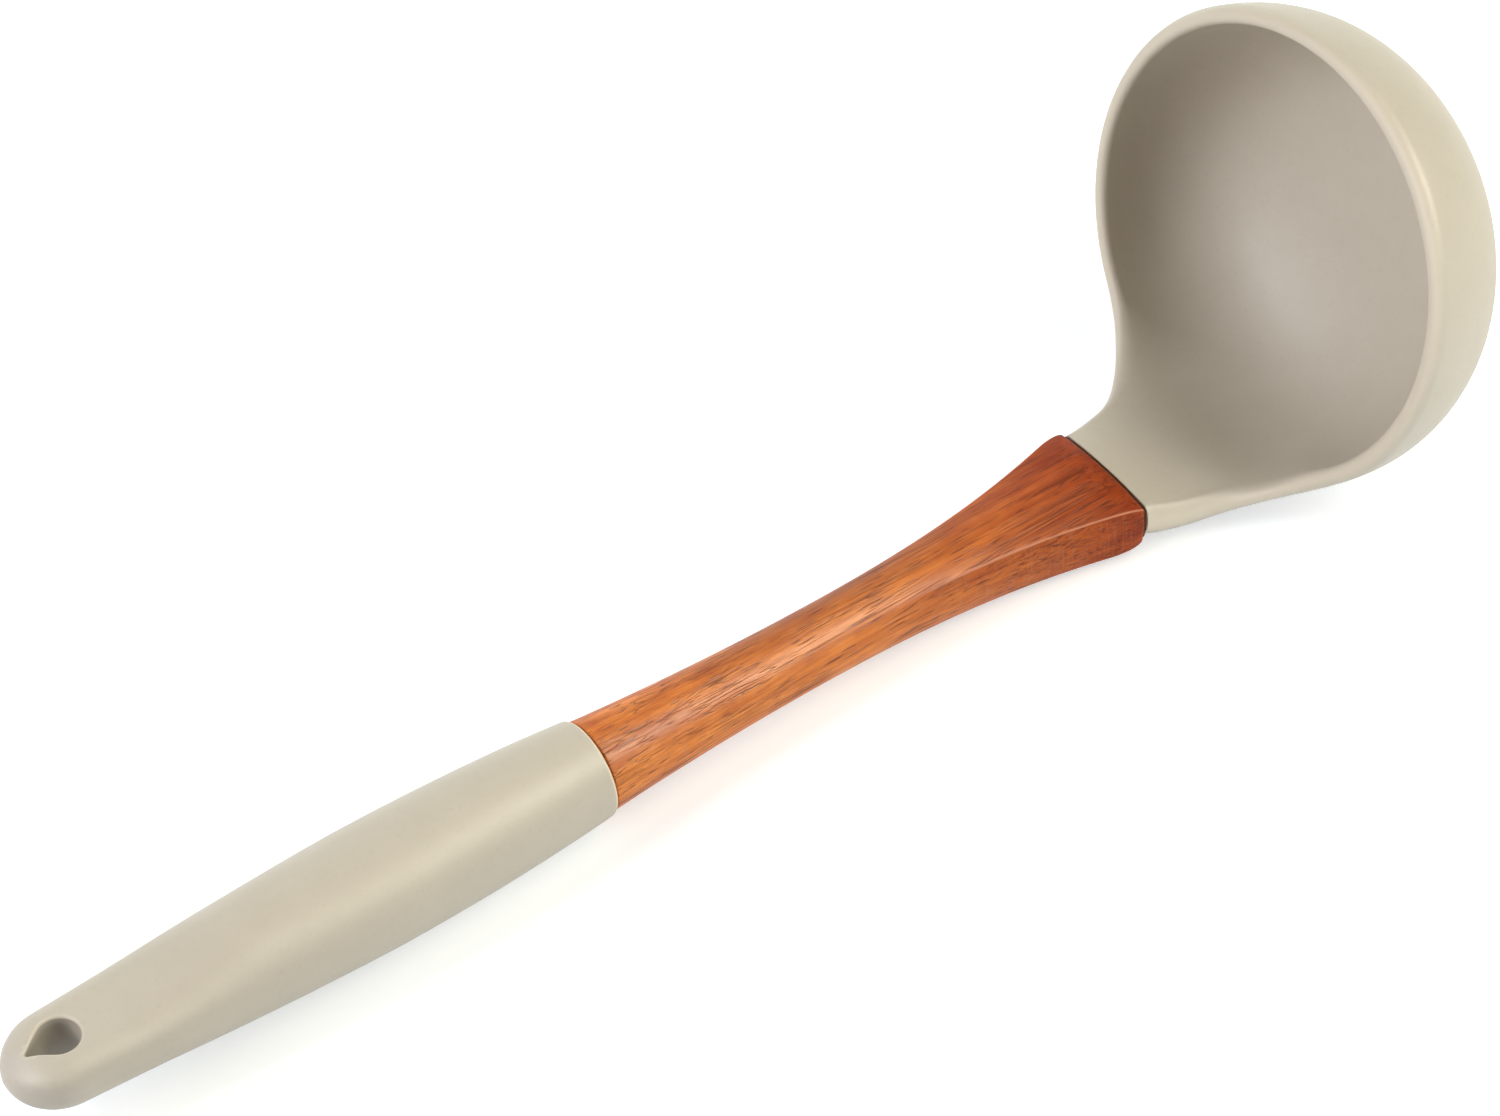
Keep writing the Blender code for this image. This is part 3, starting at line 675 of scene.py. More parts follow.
def shank_ring(ladle, x, inset=0.0):
    """Section of the shank: four arcs that make a circle at the waist and a crowned slab at the end."""
    shank = ladle.shank
    waist = shank_start(ladle) + shank.waist_place
    taper = max(0.0, (waist - x) / shank.waist_place)
    flare = max(0.0, (x - waist) / (shank_end(ladle) - waist))
    fall = shank_end_fall(ladle, x)
    radius = shank.waist_radius + (shank.start_radius - shank.waist_radius) * taper ** TAPER_POWER
    half_width = radius + shank.flare_spread * flare ** FLARE_POWER - shank.corner_drop * fall - inset
    half_height = radius - shank.top_drop * fall - inset
    corner_y = half_width * blend(ROUND_CORNER, shank.side_flatness, ease(flare))
    corner_z = half_height * blend(ROUND_CORNER, shank.top_flatness, ease(flare))
    top = arc_points(corner_y, half_height, half_height - corner_z, SHANK_TOP_STEPS)
    side = arc_points(corner_z, half_width, half_width - corner_y, SHANK_SIDE_STEPS)
    ring = [Vector((x, along, height)) for along, height in top]
    ring += [Vector((x, height, -along)) for along, height in side]
    ring += [Vector((x, -along, -height)) for along, height in top]
    ring += [Vector((x, -height, along)) for along, height in side]
    return ring


def shank_stations(ladle):
    shank = ladle.shank
    start = shank_start(ladle)
    end = shank_end(ladle)
    waist = start + shank.waist_place
    corner = end - shank.corner_length
    last_edge = corner_stations(end - shank.edge_rounding, end, EDGE_STEPS)
    stations = [start + end - x for x in reversed(last_edge)]
    stations += steps_between(start + shank.edge_rounding, waist, TAPER_STEPS)[:-1]
    stations += steps_between(waist, corner, FLARE_STEPS)[:-1]
    stations += [corner] + corner_stations(corner, end - shank.edge_rounding, CORNER_STEPS)
    return stations + last_edge


def shank_body(ladle):
    shank = ladle.shank
    rings = []
    for x in shank_stations(ladle):
        from_end = min(x - shank_start(ladle), shank_end(ladle) - x)
        rings.append(shank_ring(ladle, x, corner_inset(from_end, shank.edge_rounding)))
    bm = loft(rings)
    ridge_columns = (0, SHANK_TOP_STEPS, SHANK_TOP_STEPS + SHANK_SIDE_STEPS,
                     2 * SHANK_TOP_STEPS + SHANK_SIDE_STEPS)
    waist = shank_start(ladle) + shank.waist_place
    ring_length = len(rings[0])
    bm.verts.ensure_lookup_table()
    ridges = []
    for number in range(len(rings) - 1):
        if rings[number][0].x < waist:
            continue
        for column in ridge_columns:
            first = bm.verts[number * ring_length + column]
            second = bm.verts[(number + 1) * ring_length + column]
            ridges.append(bm.edges.get((first, second)))
    sanded = bmesh.ops.bevel(bm, geom=ridges, offset=shank.ridge_rounding, offset_type="OFFSET",
                             affect="EDGES", segments=RIDGE_STEPS, profile=0.5, material=-1,
                             clamp_overlap=True)
    sanded_faces = set(sanded["faces"])
    # Painted highlight on the sanded ridges, fading in along the flare
    pale_edge = bm.verts.layers.float[PAINTED_LIGHT_LAYER]
    for vert in sanded["verts"]:
        if all(face in sanded_faces for face in vert.link_faces):
            vert[pale_edge] = ease((vert.co.x - waist) / (RIDGE_FADE * (shank_end(ladle) - waist)))
    return bm


def tang_block(shank, clearance, start, end):
    half_width = shank.tang_width / 2.0 + clearance
    half_thickness = shank.tang_thickness / 2.0 + clearance
    return block(Vector((start, -half_width, -half_thickness)), Vector((end, half_width, half_thickness)))


class LADLE_OT_shank(Operator):
    """Make the wooden shank with its two sockets"""
    bl_idname = "ladle.shank"
    bl_label = "Shank"

    def execute(self, context):
        ladle = settings()
        shank = ladle.shank
        place = rest_place(ladle)
        start = shank_start(ladle)
        end = shank_end(ladle)
        glue_space = shank.glue_thickness + 2.0 * shank.glue_clearance
        piece = new_piece("wooden_shank", shank_body(ladle), place)
        peg_hole = rod(start - OVERSHOOT, start + shank.peg_length + ladle.fit_gap,
                       shank.peg_radius + glue_space)
        socket = tang_block(shank, glue_space, end - shank.tang_length - ladle.fit_gap, end + OVERSHOOT)
        work(piece, place, ("DIFFERENCE", peg_hole), ("DIFFERENCE", socket))
        finish_piece(piece, wood_material(ladle), "wood", "wood_handle")
        return {"FINISHED"}


# Glue line at the neck

class LADLE_OT_joint(Operator):
    """Make the dark glue line between the shank and the neck, with its sleeve round the tang"""
    bl_idname = "ladle.joint"
    bl_label = "Glue line"

    def execute(self, context):
        ladle = settings()
        shank = ladle.shank
        head = ladle.head
        place = rest_place(ladle)
        end = shank_end(ladle)
        film_start = end + (head.joint_line - shank.glue_thickness) / 2.0
        film_end = film_start + shank.glue_thickness
        outline = shank_ring(ladle, end)
        half_width = max(spot.y for spot in outline)
        half_height = max(spot.z for spot in outline)
        width_share = (min(half_width, head.neck_width / 2.0) - head.neck_end_rounding) / half_width
        height_share = (min(half_height, head.neck_thickness / 2.0) - head.neck_end_rounding) / half_height
        film = [[Vector((x, spot.y * width_share, spot.z * height_share)) for spot in outline]
                for x in (film_start, film_end)]
        piece = new_piece("glue_line", loft(film), place)
        sleeve_start = end - shank.tang_length + ladle.fit_gap
        sleeve = tang_block(shank, shank.glue_clearance + shank.glue_thickness, sleeve_start,
                            (film_start + film_end) / 2.0)
        bore = tang_block(shank, shank.glue_clearance, sleeve_start - OVERSHOOT, film_end + OVERSHOOT)
        work(piece, place, ("UNION", sleeve), ("DIFFERENCE", bore))
        finish_piece(piece, glue_material(ladle.finish), "glue", "head_glue")
        return {"FINISHED"}


# Head

class HeadShape:
    """Faces of the head: a spun bowl wall whose rim is drawn out into the neck."""

    def __init__(self, ladle):
        head = ladle.head
        self.head = head
        self.neck_start = shank_end(ladle) + head.joint_line
        self.neck_reach = head.neck_length / math.cos(head.bowl_tilt)
        self.opening = Vector((-math.cos(head.bowl_tilt), 0.0, math.sin(head.bowl_tilt)))
        self.rim_up = Vector((math.sin(head.bowl_tilt), 0.0, math.cos(head.bowl_tilt)))
        rim_foot = Vector((self.neck_start + head.neck_length, 0.0, head.rim_foot_height))
        self.rim_centre = rim_foot + self.rim_up * (head.bowl_height / 2.0 - head.wall)
        self.inner_half_width = head.bowl_width / 2.0 - head.wall
        self.inner_depth = head.bowl_depth - head.wall

    def meridian(self, share):
        """Height over a quarter of the bowl's full, rounded meridian, for a share of its half width."""
        fullness = self.head.bowl_fullness
        return (1.0 - min(share, 1.0) ** fullness) ** (1.0 / fullness)

    def plain_wall(self, angle, reach, outer):
        """Wall point at an angle from the neck; reach is 0 on the rim, + along the neck, - into the bowl."""
        head = self.head
        trim = 0.0 if outer else head.wall
        sunk = min(max(-reach / self.inner_depth, 0.0), 1.0)
        ring_share = self.meridian(sunk)
        along = max(reach, 0.0) - (head.bowl_depth - trim) * sunk
        up = -(head.bowl_height / 2.0 - trim) * math.cos(angle) * ring_share
        across = (head.bowl_width / 2.0 - trim) * math.sin(angle) * ring_share
        return self.rim_centre + self.rim_up * up + Vector((0.0, across, 0.0)) + self.opening * along

    def neck_face(self, angle, outer):
        """Where the wall has to end at the shank: the crowned top or bottom edge of the neck."""
        head = self.head
        y = self.inner_half_width * math.sin(angle)
        crown_share = min(abs(y) / (head.neck_width / 2.0), 1.0)
        z = head.neck_thickness / 2.0 - head.neck_crown * crown_share ** 2
        return Vector((self.neck_start, y, -z if outer else z))

    def face(self, angle, reach, outer):
        """Point on the inner or the outer face of the head."""
        head = self.head
        place = self.plain_wall(angle, reach, outer)
        y = head.bowl_width / 2.0
        if math.cos(angle) > 0.0:
            y = abs(self.inner_half_width * math.sin(angle))
        nearness = 1.0 - ease((y - head.neck_width / 2.0) / (head.neck_fillet + head.neck_spread))
        if outer:
            share = ease((reach + head.neck_root) / (self.neck_reach + head.neck_root)) * nearness
        else:
            inlet = head.neck_inlet * nearness
            share = ease((reach + inlet) / (self.neck_reach + inlet))
        if share == 0.0:
            return place
        return place + (self.neck_face(angle, outer) - self.plain_wall(angle, self.neck_reach, outer)) * share

    def point(self, angle, reach, depth_share, skin):
        """Point between the two faces; skin is kept from each face."""
        inner = self.face(angle, reach, False)
        across = self.face(angle, reach, True) - inner
        skin_share = skin / across.length
        return inner + across * blend(skin_share, 1.0 - skin_share, depth_share)

    def outline(self, band, rounding, end_reach, counts):
        """Half of the head's edge, from the middle of the neck's end to the far side of the rim."""
        head = self.head
        lateral = self.inner_half_width
        fillet = min(head.neck_fillet, self.neck_reach)
        fillet_centre = head.neck_width / 2.0 + fillet
        end_width = head.neck_width / 2.0 - band - rounding * head.joint_softness
        edge = [(math.asin(end_width * step / counts["end"] / lateral), end_reach)
                for step in range(counts["end"] + 1)]

        def add_edge(y, reach):
            spread = head.neck_spread * min(1.0 - reach / self.neck_reach, 1.0)
            edge.append((math.asin((y + spread) / lateral), reach))

        for reach in steps_between(end_reach, fillet, counts["side"])[1:-1]:
            add_edge(end_width, reach)
        for share in steps_between(0.0, 1.0, counts["fillet"]):
            turn = math.pi / 2.0 * share
            softness = blend(head.joint_softness, 1.0, share)
            softness += (head.neck_softness - softness) * math.sin(math.pi * share) ** 2
            reach = fillet + band + rounding * softness
            y = fillet_centre - reach * math.cos(turn)
            add_edge(y, fillet - reach * math.sin(turn))
        rim = steps_between(edge[-1][0], math.pi / 2.0, counts["rim_side"])[1:]
        rim += steps_between(math.pi / 2.0, math.pi, counts["rim_top"])[1:]
        return edge + [(angle, -band - rounding) for angle in rim]

    def pinched(self, half, counts):
        """Draw the columns of the neck together, as they run inside the bowl."""
        bases = []
        for column, (angle, reach) in enumerate(half):
            past_end = (column - counts["end"]) / (counts["side"] + counts["fillet"])
            spread = min(max(past_end, 0.0), 1.0)
            bases.append((angle * (1.0 - NECK_COLUMN_PINCH * (1.0 - spread)), reach))
        return bases

    def whole(self, half):
        """Mirror half a ring of (angle, reach) pairs to the other side of the neck."""
        return half + [(-angle, reach) for angle, reach in reversed(half[1:-1])]

    def lip(self, wall):
        """Rounded edge from the inner to the outer face, as (inset, depth) pairs."""
        inner = self.head.inner_lip * wall / self.head.wall
        outer = self.head.outer_lip * wall / self.head.wall
        turns = [math.pi / 2.0 * step / LIP_STEPS for step in range(LIP_STEPS + 1)]
        edge = rounded_edge(inner, turns)
        return edge + [(depth, wall - inset) for inset, depth in rounded_edge(outer, turns)]

    def shell(self, band, skin, end_reach, counts):
        """Closed wall of the head, its edge kept band and its faces skin below the finished surface."""
        wall = self.head.wall - 2.0 * skin
        lip = self.lip(wall)
        largest = max(inset for inset, _ in lip)

        def edge_half(inset):
            end = end_reach - self.head.neck_end_rounding * inset / largest
            return self.outline(band, inset, end, counts)

        def face_rings(depth_share, inset):
            half = edge_half(inset)
            edge = self.whole(half)
            bases = [angle for angle, _ in self.whole(self.pinched(half, counts))]
            base_reach = -self.inner_depth * self.meridian(BOWL_BASE_SHARE)
            rings = []
            for step in range(1, counts["bowl"]):
                reach = -self.inner_depth * self.meridian(BOWL_BASE_SHARE * step / counts["bowl"])
                rings.append([self.point(angle, reach, depth_share, skin) for angle in bases])
            for step in range(counts["neck"] + 1):
                share = step / counts["neck"]
                rings.append([self.point(blend(base, angle, share), blend(base_reach, reach, share),
                                         depth_share, skin) for base, (angle, reach) in zip(bases, edge)])
            return rings

        rings = face_rings(0.0, lip[0][0])
        for inset, depth in lip[1:-1]:
            rings.append([self.point(angle, reach, depth / wall, skin)
                          for angle, reach in self.whole(edge_half(inset))])
        face_count = counts["bowl"] + counts["neck"]
        # Painted highlight along the lip, strongest halfway between the faces
        lip_highlight = [math.sin(math.pi * depth / wall) for _, depth in lip[1:-1]]
        painted_light_share = [0.0] * face_count + lip_highlight + [0.0] * face_count
        rings += reversed(face_rings(1.0, lip[-1][0]))
        poles = [self.point(0.0, -self.inner_depth, share, skin) for share in (0.0, 1.0)]
        return loft(rings, first_point=poles[0], last_point=poles[1], painted_light_share=painted_light_share)


class LADLE_OT_head(Operator):
    """Make the silicone bowl and neck round the room for their core"""
    bl_idname = "ladle.head"
    bl_label = "Head"

    def execute(self, context):
        ladle = settings()
        head = ladle.head
        place = rest_place(ladle)
        shape = HeadShape(ladle)
        piece = new_piece("silicone_head", shape.shell(0.0, 0.0, shape.neck_reach, FINE_HEAD), place)
        hollow = shape.shell(head.core_rim_band, head.skin, shape.neck_reach + OVERSHOOT, COARSE_HEAD)
        work(piece, place, ("DIFFERENCE", hollow))
        finish_piece(piece, silicone_material(ladle.finish), "silicone", "bowl_skin")
        return {"FINISHED"}


# Materials

def new_material(name):
    """Empty material with a Principled BSDF; gives the material, its tree and the shader."""
    material = bpy.data.materials.new(name)
    material.use_nodes = True
    tree = material.node_tree
    return material, tree, tree.nodes["Principled BSDF"]


def set_inputs(tree, node, inputs):
    """Set or link a node's inputs, by name or number."""
    for key, value in inputs.items():
        if isinstance(value, bpy.types.NodeSocket):
            tree.links.new(value, node.inputs[key])
        else:
            node.inputs[key].default_value = value


def add_node(tree, kind, inputs, **options):
    """Add a node, set its options, and then its inputs."""
    node = tree.nodes.new(kind)
    for option, value in options.items():
        setattr(node, option, value)
    set_inputs(tree, node, inputs)
    return node


def calc(tree, operation, *values):
    return add_node(tree, "ShaderNodeMath", dict(enumerate(values)), operation=operation).outputs[0]


def object_coordinates(tree, stretch=(1.0, 1.0, 1.0)):
    """Object coordinates, scaled on each axis."""
    source = add_node(tree, "ShaderNodeTexCoord", {})
    mapping = add_node(tree, "ShaderNodeMapping", {"Vector": source.outputs["Object"], "Scale": stretch})
    return mapping.outputs["Vector"]


def noise(tree, vector, scale, detail, roughness=0.5, distortion=0.0):
    node = add_node(tree, "ShaderNodeTexNoise", {"Vector": vector, "Scale": scale, "Detail": detail,
                                                 "Roughness": roughness, "Distortion": distortion})
    return node.outputs["Fac"]


def grain_noise(tree, cells, detail, roughness=0.5, distortion=0.0):
    """Noise with its own number of cells per metre on each axis."""
    return noise(tree, object_coordinates(tree, cells), 1.0, detail, roughness, distortion)


def rerange(tree, value, limits, to=(0.0, 1.0)):
    """Stretch a range of values to another one, clamped."""
    node = add_node(tree, "ShaderNodeMapRange", {"Value": value, "From Min": limits[0], "From Max": limits[1],
                                                 "To Min": to[0], "To Max": to[1]}, clamp=True)
    return node.outputs["Result"]


def mix_colour(tree, share, first, second):
    return add_node(tree, "ShaderNodeMix", {0: share, 6: first, 7: second}, data_type="RGBA").outputs[2]


def bump(tree, height, strength, distance):
    node = add_node(tree, "ShaderNodeBump", {"Height": height, "Strength": strength, "Distance": distance})
    return node.outputs["Normal"]


# Painted light on a mesh: highlight above 0, shade below 0
def painted_light_attribute(tree):
    return add_node(tree, "ShaderNodeAttribute", {}, attribute_name=PAINTED_LIGHT_LAYER).outputs["Fac"]


def shaded(colour, share):
    """A colour times a share."""
    return (*(min(1.0, channel * share) for channel in colour[:3]), 1.0)


def silicone_material(finish):
    """Matte silicone: faint mottling, powdery roughness and a fine moulded texture."""
    if "matte_silicone" in bpy.data.materials:
        return bpy.data.materials["matte_silicone"]
    material, tree, shader = new_material("matte_silicone")
    vector = object_coordinates(tree)
    edges = painted_light_attribute(tree)
    mottle = noise(tree, vector, MOTTLE_CELLS, detail=5.0, roughness=0.6)
    specks = noise(tree, vector, SPECK_CELLS, detail=2.0)
    dust = noise(tree, vector, DUST_CELLS, detail=4.0)
    grain = noise(tree, vector, SILICONE_GRAIN_CELLS, detail=2.0)
    colour = finish.silicone
    for share, second in (
            (rerange(tree, mottle, MOTTLE_RANGE, (0.0, MOTTLE_SHARE)), finish.silicone_shade),
            (rerange(tree, specks, SPECK_RANGE, (0.0, SPECK_SHARE)), finish.silicone_shade),
            # Painted highlight on thin edges, then painted shade on the hanging hole's wall
            (edges, finish.silicone_highlight),
            (rerange(tree, edges, (0.0, HOLE_WALL_SHADE)), finish.silicone_hole_shade)):
        colour = mix_colour(tree, share, colour, second)
    set_inputs(tree, shader, {
        "Base Color": colour,
        "Roughness": rerange(tree, dust, MIDDLE_RANGE, SILICONE_ROUGHNESS),
        "Normal": bump(tree, grain, *SILICONE_BUMP),
        "Specular IOR Level": 0.45,
        "Sheen Weight": 0.05,
        "Sheen Roughness": 0.5,
    })
    return material


def wood_figure(tree):
    """Share of pale wood: broad bands and streaks along the grain, with a ribbon across them."""
    bands = grain_noise(tree, BAND_CELLS, detail=2.0, roughness=0.5, distortion=0.4)
    streaks = grain_noise(tree, STREAK_CELLS, detail=4.0, roughness=0.6, distortion=0.3)
    ribbon = grain_noise(tree, RIBBON_CELLS, detail=3.0, roughness=0.6)
    figure = calc(tree, "MULTIPLY_ADD", ribbon, RIBBON_SHARE, calc(tree, "ADD", bands, streaks))
    return rerange(tree, figure, FIGURE_RANGE)


def grain_lines(tree, cells, width):
    """Thin lines along the grain, where a stretched noise crosses its middle value."""
    field = grain_noise(tree, cells, detail=1.0, roughness=0.4, distortion=0.5)
    distance = calc(tree, "ABSOLUTE", calc(tree, "SUBTRACT", field, 0.5))
    return rerange(tree, distance, (0.0, width), (1.0, 0.0))


def wood_pores(tree):
    """Long lines of pores, broken here and there, and short pores between them."""
    broken = rerange(tree, grain_noise(tree, BREAK_CELLS, detail=2.0), BREAK_RANGE)
    crossed = calc(tree, "MAXIMUM", grain_lines(tree, LONG_LINE_CELLS, LONG_LINE_WIDTH),
                   grain_lines(tree, FINE_LINE_CELLS, FINE_LINE_WIDTH))
    short_pores = rerange(tree, grain_noise(tree, PORE_CELLS, detail=1.0, roughness=0.4), PORE_RANGE)
    return calc(tree, "MAXIMUM", calc(tree, "MULTIPLY", crossed, broken), short_pores)


def painted_shade_streak(tree, along, facing, middle):
    """Share of the painted shade streak on one side of the shank."""
    gap = calc(tree, "ABSOLUTE", calc(tree, "SUBTRACT", along, middle))
    near = rerange(tree, gap, SHADE_STREAK_REACH, (1.0, 0.0))
    return calc(tree, "MULTIPLY", near, rerange(tree, facing, SHADE_STREAK_FACING, (0.0, SHADE_STREAK_SHARE)))


def side_flecks(tree, facing):
    """Share of the cross flecks, on the sides of the shank alone."""
    flecks = rerange(tree, grain_noise(tree, FLECK_CELLS, detail=2.0, roughness=0.6), FLECK_RANGE)
    sideways = calc(tree, "ABSOLUTE", facing)
    return calc(tree, "MULTIPLY", flecks, rerange(tree, sideways, FLECK_FACING, (0.0, FLECK_SHARE)))


def wood_material(ladle):
    """Oiled wood: streaks and dark grain lines along it, cross flecks on the sides, redder at the flare."""
    finish = ladle.finish
    material, tree, shader = new_material("oiled_wood")
    place = rest_place(ladle)
    deep_start = (place @ Vector((shank_start(ladle) + DEEP_START_SHARE * ladle.shank.length, 0.0, 0.0))).x
    deep_end = (place @ Vector((shank_end(ladle), 0.0, 0.0))).x
    along = add_node(tree, "ShaderNodeSeparateXYZ", {"Vector": object_coordinates(tree)}).outputs["X"]
    normal = add_node(tree, "ShaderNodeTexCoord", {}).outputs["Normal"]
    facing = add_node(tree, "ShaderNodeSeparateXYZ", {"Vector": normal}).outputs["Y"]
    deep_share = rerange(tree, along, (deep_start, deep_end))
    pale = mix_colour(tree, deep_share, finish.wood_light, finish.wood_deep_light)
    dark = mix_colour(tree, deep_share, finish.wood_dark, finish.wood_deep_dark)
    fibres = grain_noise(tree, FIBRE_CELLS, detail=3.0, roughness=0.6)
    pores = wood_pores(tree)
    colour = dark
    for share, second in (
            (wood_figure(tree), pale),
            (rerange(tree, fibres, FIBRE_RANGE, (0.0, FIBRE_SHARE)), dark),
            # Painted shade streak on the +Y flank round the place where the wood starts to deepen
            (painted_shade_streak(tree, along, facing, deep_start), finish.wood_pore_and_shade),
            (side_flecks(tree, facing), finish.wood_fleck),
            (calc(tree, "MULTIPLY", pores, PORE_SHARE), finish.wood_pore_and_shade),
            # Painted highlight on the sanded ridges
            (painted_light_attribute(tree), finish.wood_ridge_highlight)):
        colour = mix_colour(tree, share, colour, second)
    relief = calc(tree, "MULTIPLY_ADD", fibres, FIBRE_RELIEF, pores)
    set_inputs(tree, shader, {
        "Base Color": colour,
        "Roughness": rerange(tree, fibres, MIDDLE_RANGE, WOOD_ROUGHNESS),
        "Normal": bump(tree, calc(tree, "SUBTRACT", 1.0, relief), *WOOD_BUMP),
        "Specular IOR Level": rerange(tree, along, (deep_start, deep_end), WOOD_SHINE),
    })
    return material


def glue_material(finish):
    """Dark cured glue with a faint streak."""
    if "cured_glue" in bpy.data.materials:
        return bpy.data.materials["cured_glue"]
    material, tree, shader = new_material("cured_glue")
    streak = noise(tree, object_coordinates(tree), scale=700.0, detail=3.0)
    pale_share = rerange(tree, streak, (0.35, 0.7))
    set_inputs(tree, shader, {
        "Base Color": mix_colour(tree, pale_share, finish.glue, shaded(finish.glue, 2.0)),
        "Roughness": rerange(tree, streak, MIDDLE_RANGE, (0.6, 0.75)),
        "Specular IOR Level": 0.1,
    })
    return material


def nylon_material(finish):
    """Moulded core with a spark-eroded texture."""
    material, tree, shader = new_material("moulded_core")
    vector = object_coordinates(tree)
    cloud = noise(tree, vector, scale=90.0, detail=3.0)
    grain = noise(tree, vector, scale=3000.0, detail=2.0)
    clear_share = rerange(tree, cloud, MIDDLE_RANGE)
    set_inputs(tree, shader, {
        "Base Color": mix_colour(tree, clear_share, shaded(finish.nylon, 0.8), finish.nylon),
        "Roughness": rerange(tree, grain, MIDDLE_RANGE, (0.45, 0.6)),
        "Normal": bump(tree, grain, strength=0.2, distance=0.00006),
    })
    return material


class LADLE_OT_inside(Operator):
    """Finish the moulded cores and the glue inside the joints"""
    bl_idname = "ladle.inside"
    bl_label = "Cores and glue"

    def execute(self, context):
        finish = settings().finish
        nylon = nylon_material(finish)
        finishes = {"bowl_core": nylon, "grip_core": nylon, "grip_glue": glue_material(finish)}
        for node, material in finishes.items():
            mesh = frame["nodes"][node].data
            mesh.materials.clear()
            mesh.materials.append(material)
        return {"FINISHED"}


# Stage

def area_light(name, power, azimuth, elevation, size, colour, lights, reflects):
    """Round soft lamp aimed at the ladle."""
    lamp = bpy.data.lights.new(name, "AREA")
    lamp.shape = "DISK"
    lamp.size = size
    lamp.energy = power
    lamp.color = colour
    turn = math.radians(azimuth)
    lift = math.radians(elevation)
    towards = Vector((math.cos(turn) * math.cos(lift), math.sin(turn) * math.cos(lift), math.sin(lift)))
    light = bpy.data.objects.new(name, lamp)
    light.location = LAMP_TARGET + towards * LAMP_DISTANCE
    light.rotation_euler = towards.to_track_quat("Z", "Y").to_euler()
    light.visible_diffuse = lights
    light.visible_glossy = reflects
    bpy.context.scene.collection.objects.link(light)


def seen_directly(tree):
    """1 for rays from the camera and for mirror and glass rays, else 0."""
    path = add_node(tree, "ShaderNodeLightPath", {}).outputs
    mirrored = calc(tree, "MAXIMUM", path["Is Camera Ray"], path["Is Glossy Ray"])
    return calc(tree, "MAXIMUM", mirrored, path["Is Transmission Ray"])


def floor_material(stage):
    """Pale floor that shows white where nothing shades it."""
    material = bpy.data.materials.new("pale_floor")
    material.use_nodes = True
    tree = material.node_tree
    tree.nodes.clear()
    shaded_floor = add_node(tree, "ShaderNodeBsdfDiffuse", {"Color": stage.floor_colour}).outputs[0]
    distance = add_node(tree, "ShaderNodeVectorMath", {0: object_coordinates(tree)}, operation="LENGTH")
    strength = rerange(tree, distance.outputs["Value"], FLOOR_LIFT_REACH, (stage.floor_lift, 1.0))
    lift = add_node(tree, "ShaderNodeEmission", {"Color": WHITE, "Strength": strength}).outputs[0]
    lifted = add_node(tree, "ShaderNodeAddShader", {0: shaded_floor, 1: lift}).outputs[0]
    chosen = add_node(tree, "ShaderNodeMixShader", {0: seen_directly(tree), 1: shaded_floor, 2: lifted})
    add_node(tree, "ShaderNodeOutputMaterial", {"Surface": chosen.outputs[0]})
    return material


def studio_world(stage):
    """Faint even light, white where it is seen or mirrored."""
    world = bpy.data.worlds.new("studio")
    world.use_nodes = True
    tree = world.node_tree
    tree.nodes.clear()
    strength = add_node(tree, "ShaderNodeMix", {0: seen_directly(tree), 2: stage.world_strength, 3: 1.0},
                        data_type="FLOAT").outputs[0]
    background = add_node(tree, "ShaderNodeBackground", {"Color": WHITE, "Strength": strength})
    add_node(tree, "ShaderNodeOutputWorld", {"Surface": background.outputs[0]})
    return world


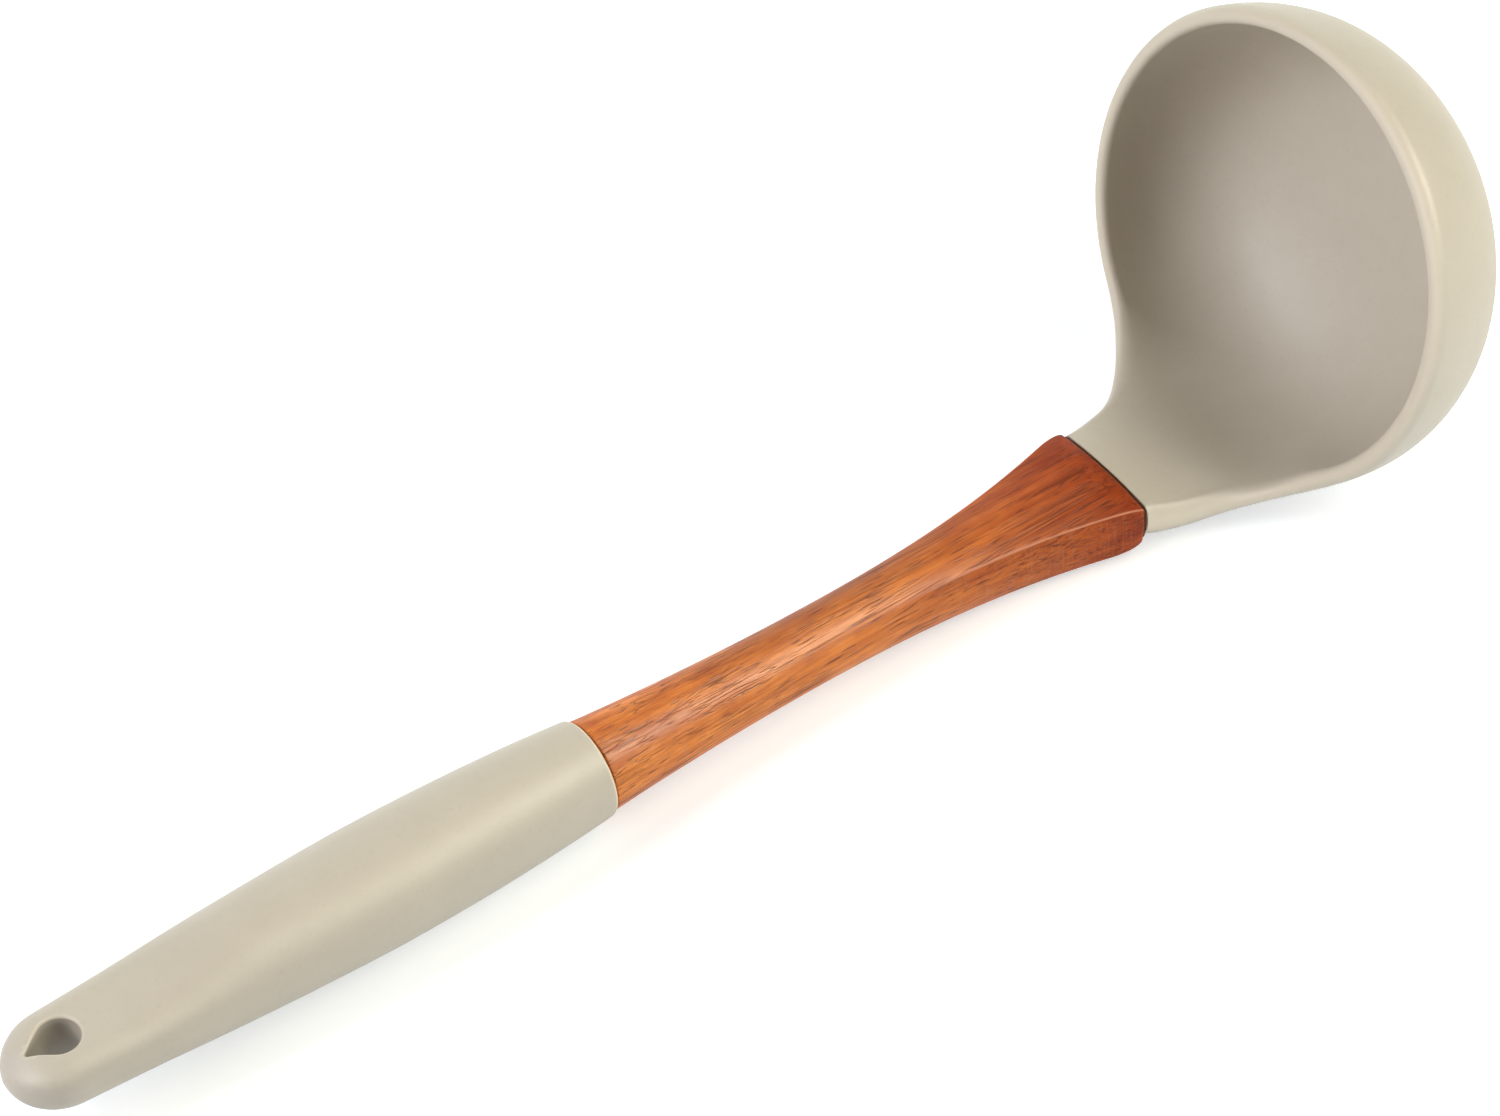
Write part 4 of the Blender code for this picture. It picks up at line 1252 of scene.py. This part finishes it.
class LADLE_OT_stage(Operator):
    """Set the floor, the soft lights, the pale surroundings and the camera"""
    bl_idname = "ladle.stage"
    bl_label = "Stage"

    def execute(self, context):
        scene = context.scene
        stage = settings().stage
        scene.view_settings.view_transform = "Standard"
        bm = bmesh.new()
        bmesh.ops.create_grid(bm, x_segments=1, y_segments=1, size=stage.floor_size / 2.0)
        floor = new_piece("floor", bm, Matrix.Identity(4))
        floor.data.materials.append(floor_material(stage))
        scene.world = studio_world(stage)
        for name, lamp in LAMPS.items():
            area_light(name, getattr(stage, f"{name}_power"), *lamp)
        camera = bpy.data.objects.new("camera", bpy.data.cameras.new("camera"))
        camera.location = stage.camera_place
        camera.rotation_euler = stage.camera_turn
        camera.data.sensor_width = SENSOR_WIDTH
        camera.data.lens = stage.lens
        camera.data.clip_start = CLIP_START
        camera.data.clip_end = CLIP_END
        scene.collection.objects.link(camera)
        scene.camera = camera
        return {"FINISHED"}


class LADLE_PT_sidebar(Panel):
    """Sizes, colours and steps of the ladle"""
    bl_label = "Soup Ladle"
    bl_space_type = "VIEW_3D"
    bl_region_type = "UI"
    bl_category = "Ladle"

    def draw(self, context):
        ladle = settings()
        layout = self.layout
        rows = (
            ("Head", ladle.head, LADLE_OT_head),
            ("Glue line", None, LADLE_OT_joint),
            ("Shank", ladle.shank, LADLE_OT_shank),
            ("Grip", ladle.grip, LADLE_OT_grip),
            ("Colours", ladle.finish, LADLE_OT_inside),
            ("Stage", ladle.stage, LADLE_OT_stage),
        )
        for title, group, step in rows:
            box = layout.box()
            box.label(text=title)
            if group is not None:
                for name in group.__annotations__:
                    box.prop(group, name)
            box.operator(step.bl_idname)


STEPS = (LADLE_OT_head, LADLE_OT_joint, LADLE_OT_shank, LADLE_OT_grip, LADLE_OT_inside, LADLE_OT_stage)
GROUPS = (LadleGripSizes, LadleShankSizes, LadleHeadSizes, LadleFinishes, LadleStage, LadleSettings)
CLASSES = GROUPS + STEPS + (LADLE_PT_sidebar,)


def register():
    for item in CLASSES:
        bpy.utils.register_class(item)
    bpy.types.Scene.soup_ladle = PointerProperty(type=LadleSettings)


def unregister():
    del bpy.types.Scene.soup_ladle
    for item in reversed(CLASSES):
        bpy.utils.unregister_class(item)


def main():
    register()
    bpy.ops.ladle.head()
    bpy.ops.ladle.joint()
    bpy.ops.ladle.shank()
    bpy.ops.ladle.grip()
    bpy.ops.ladle.inside()
    bpy.ops.ladle.stage()


if __name__ == "__main__":
    main()
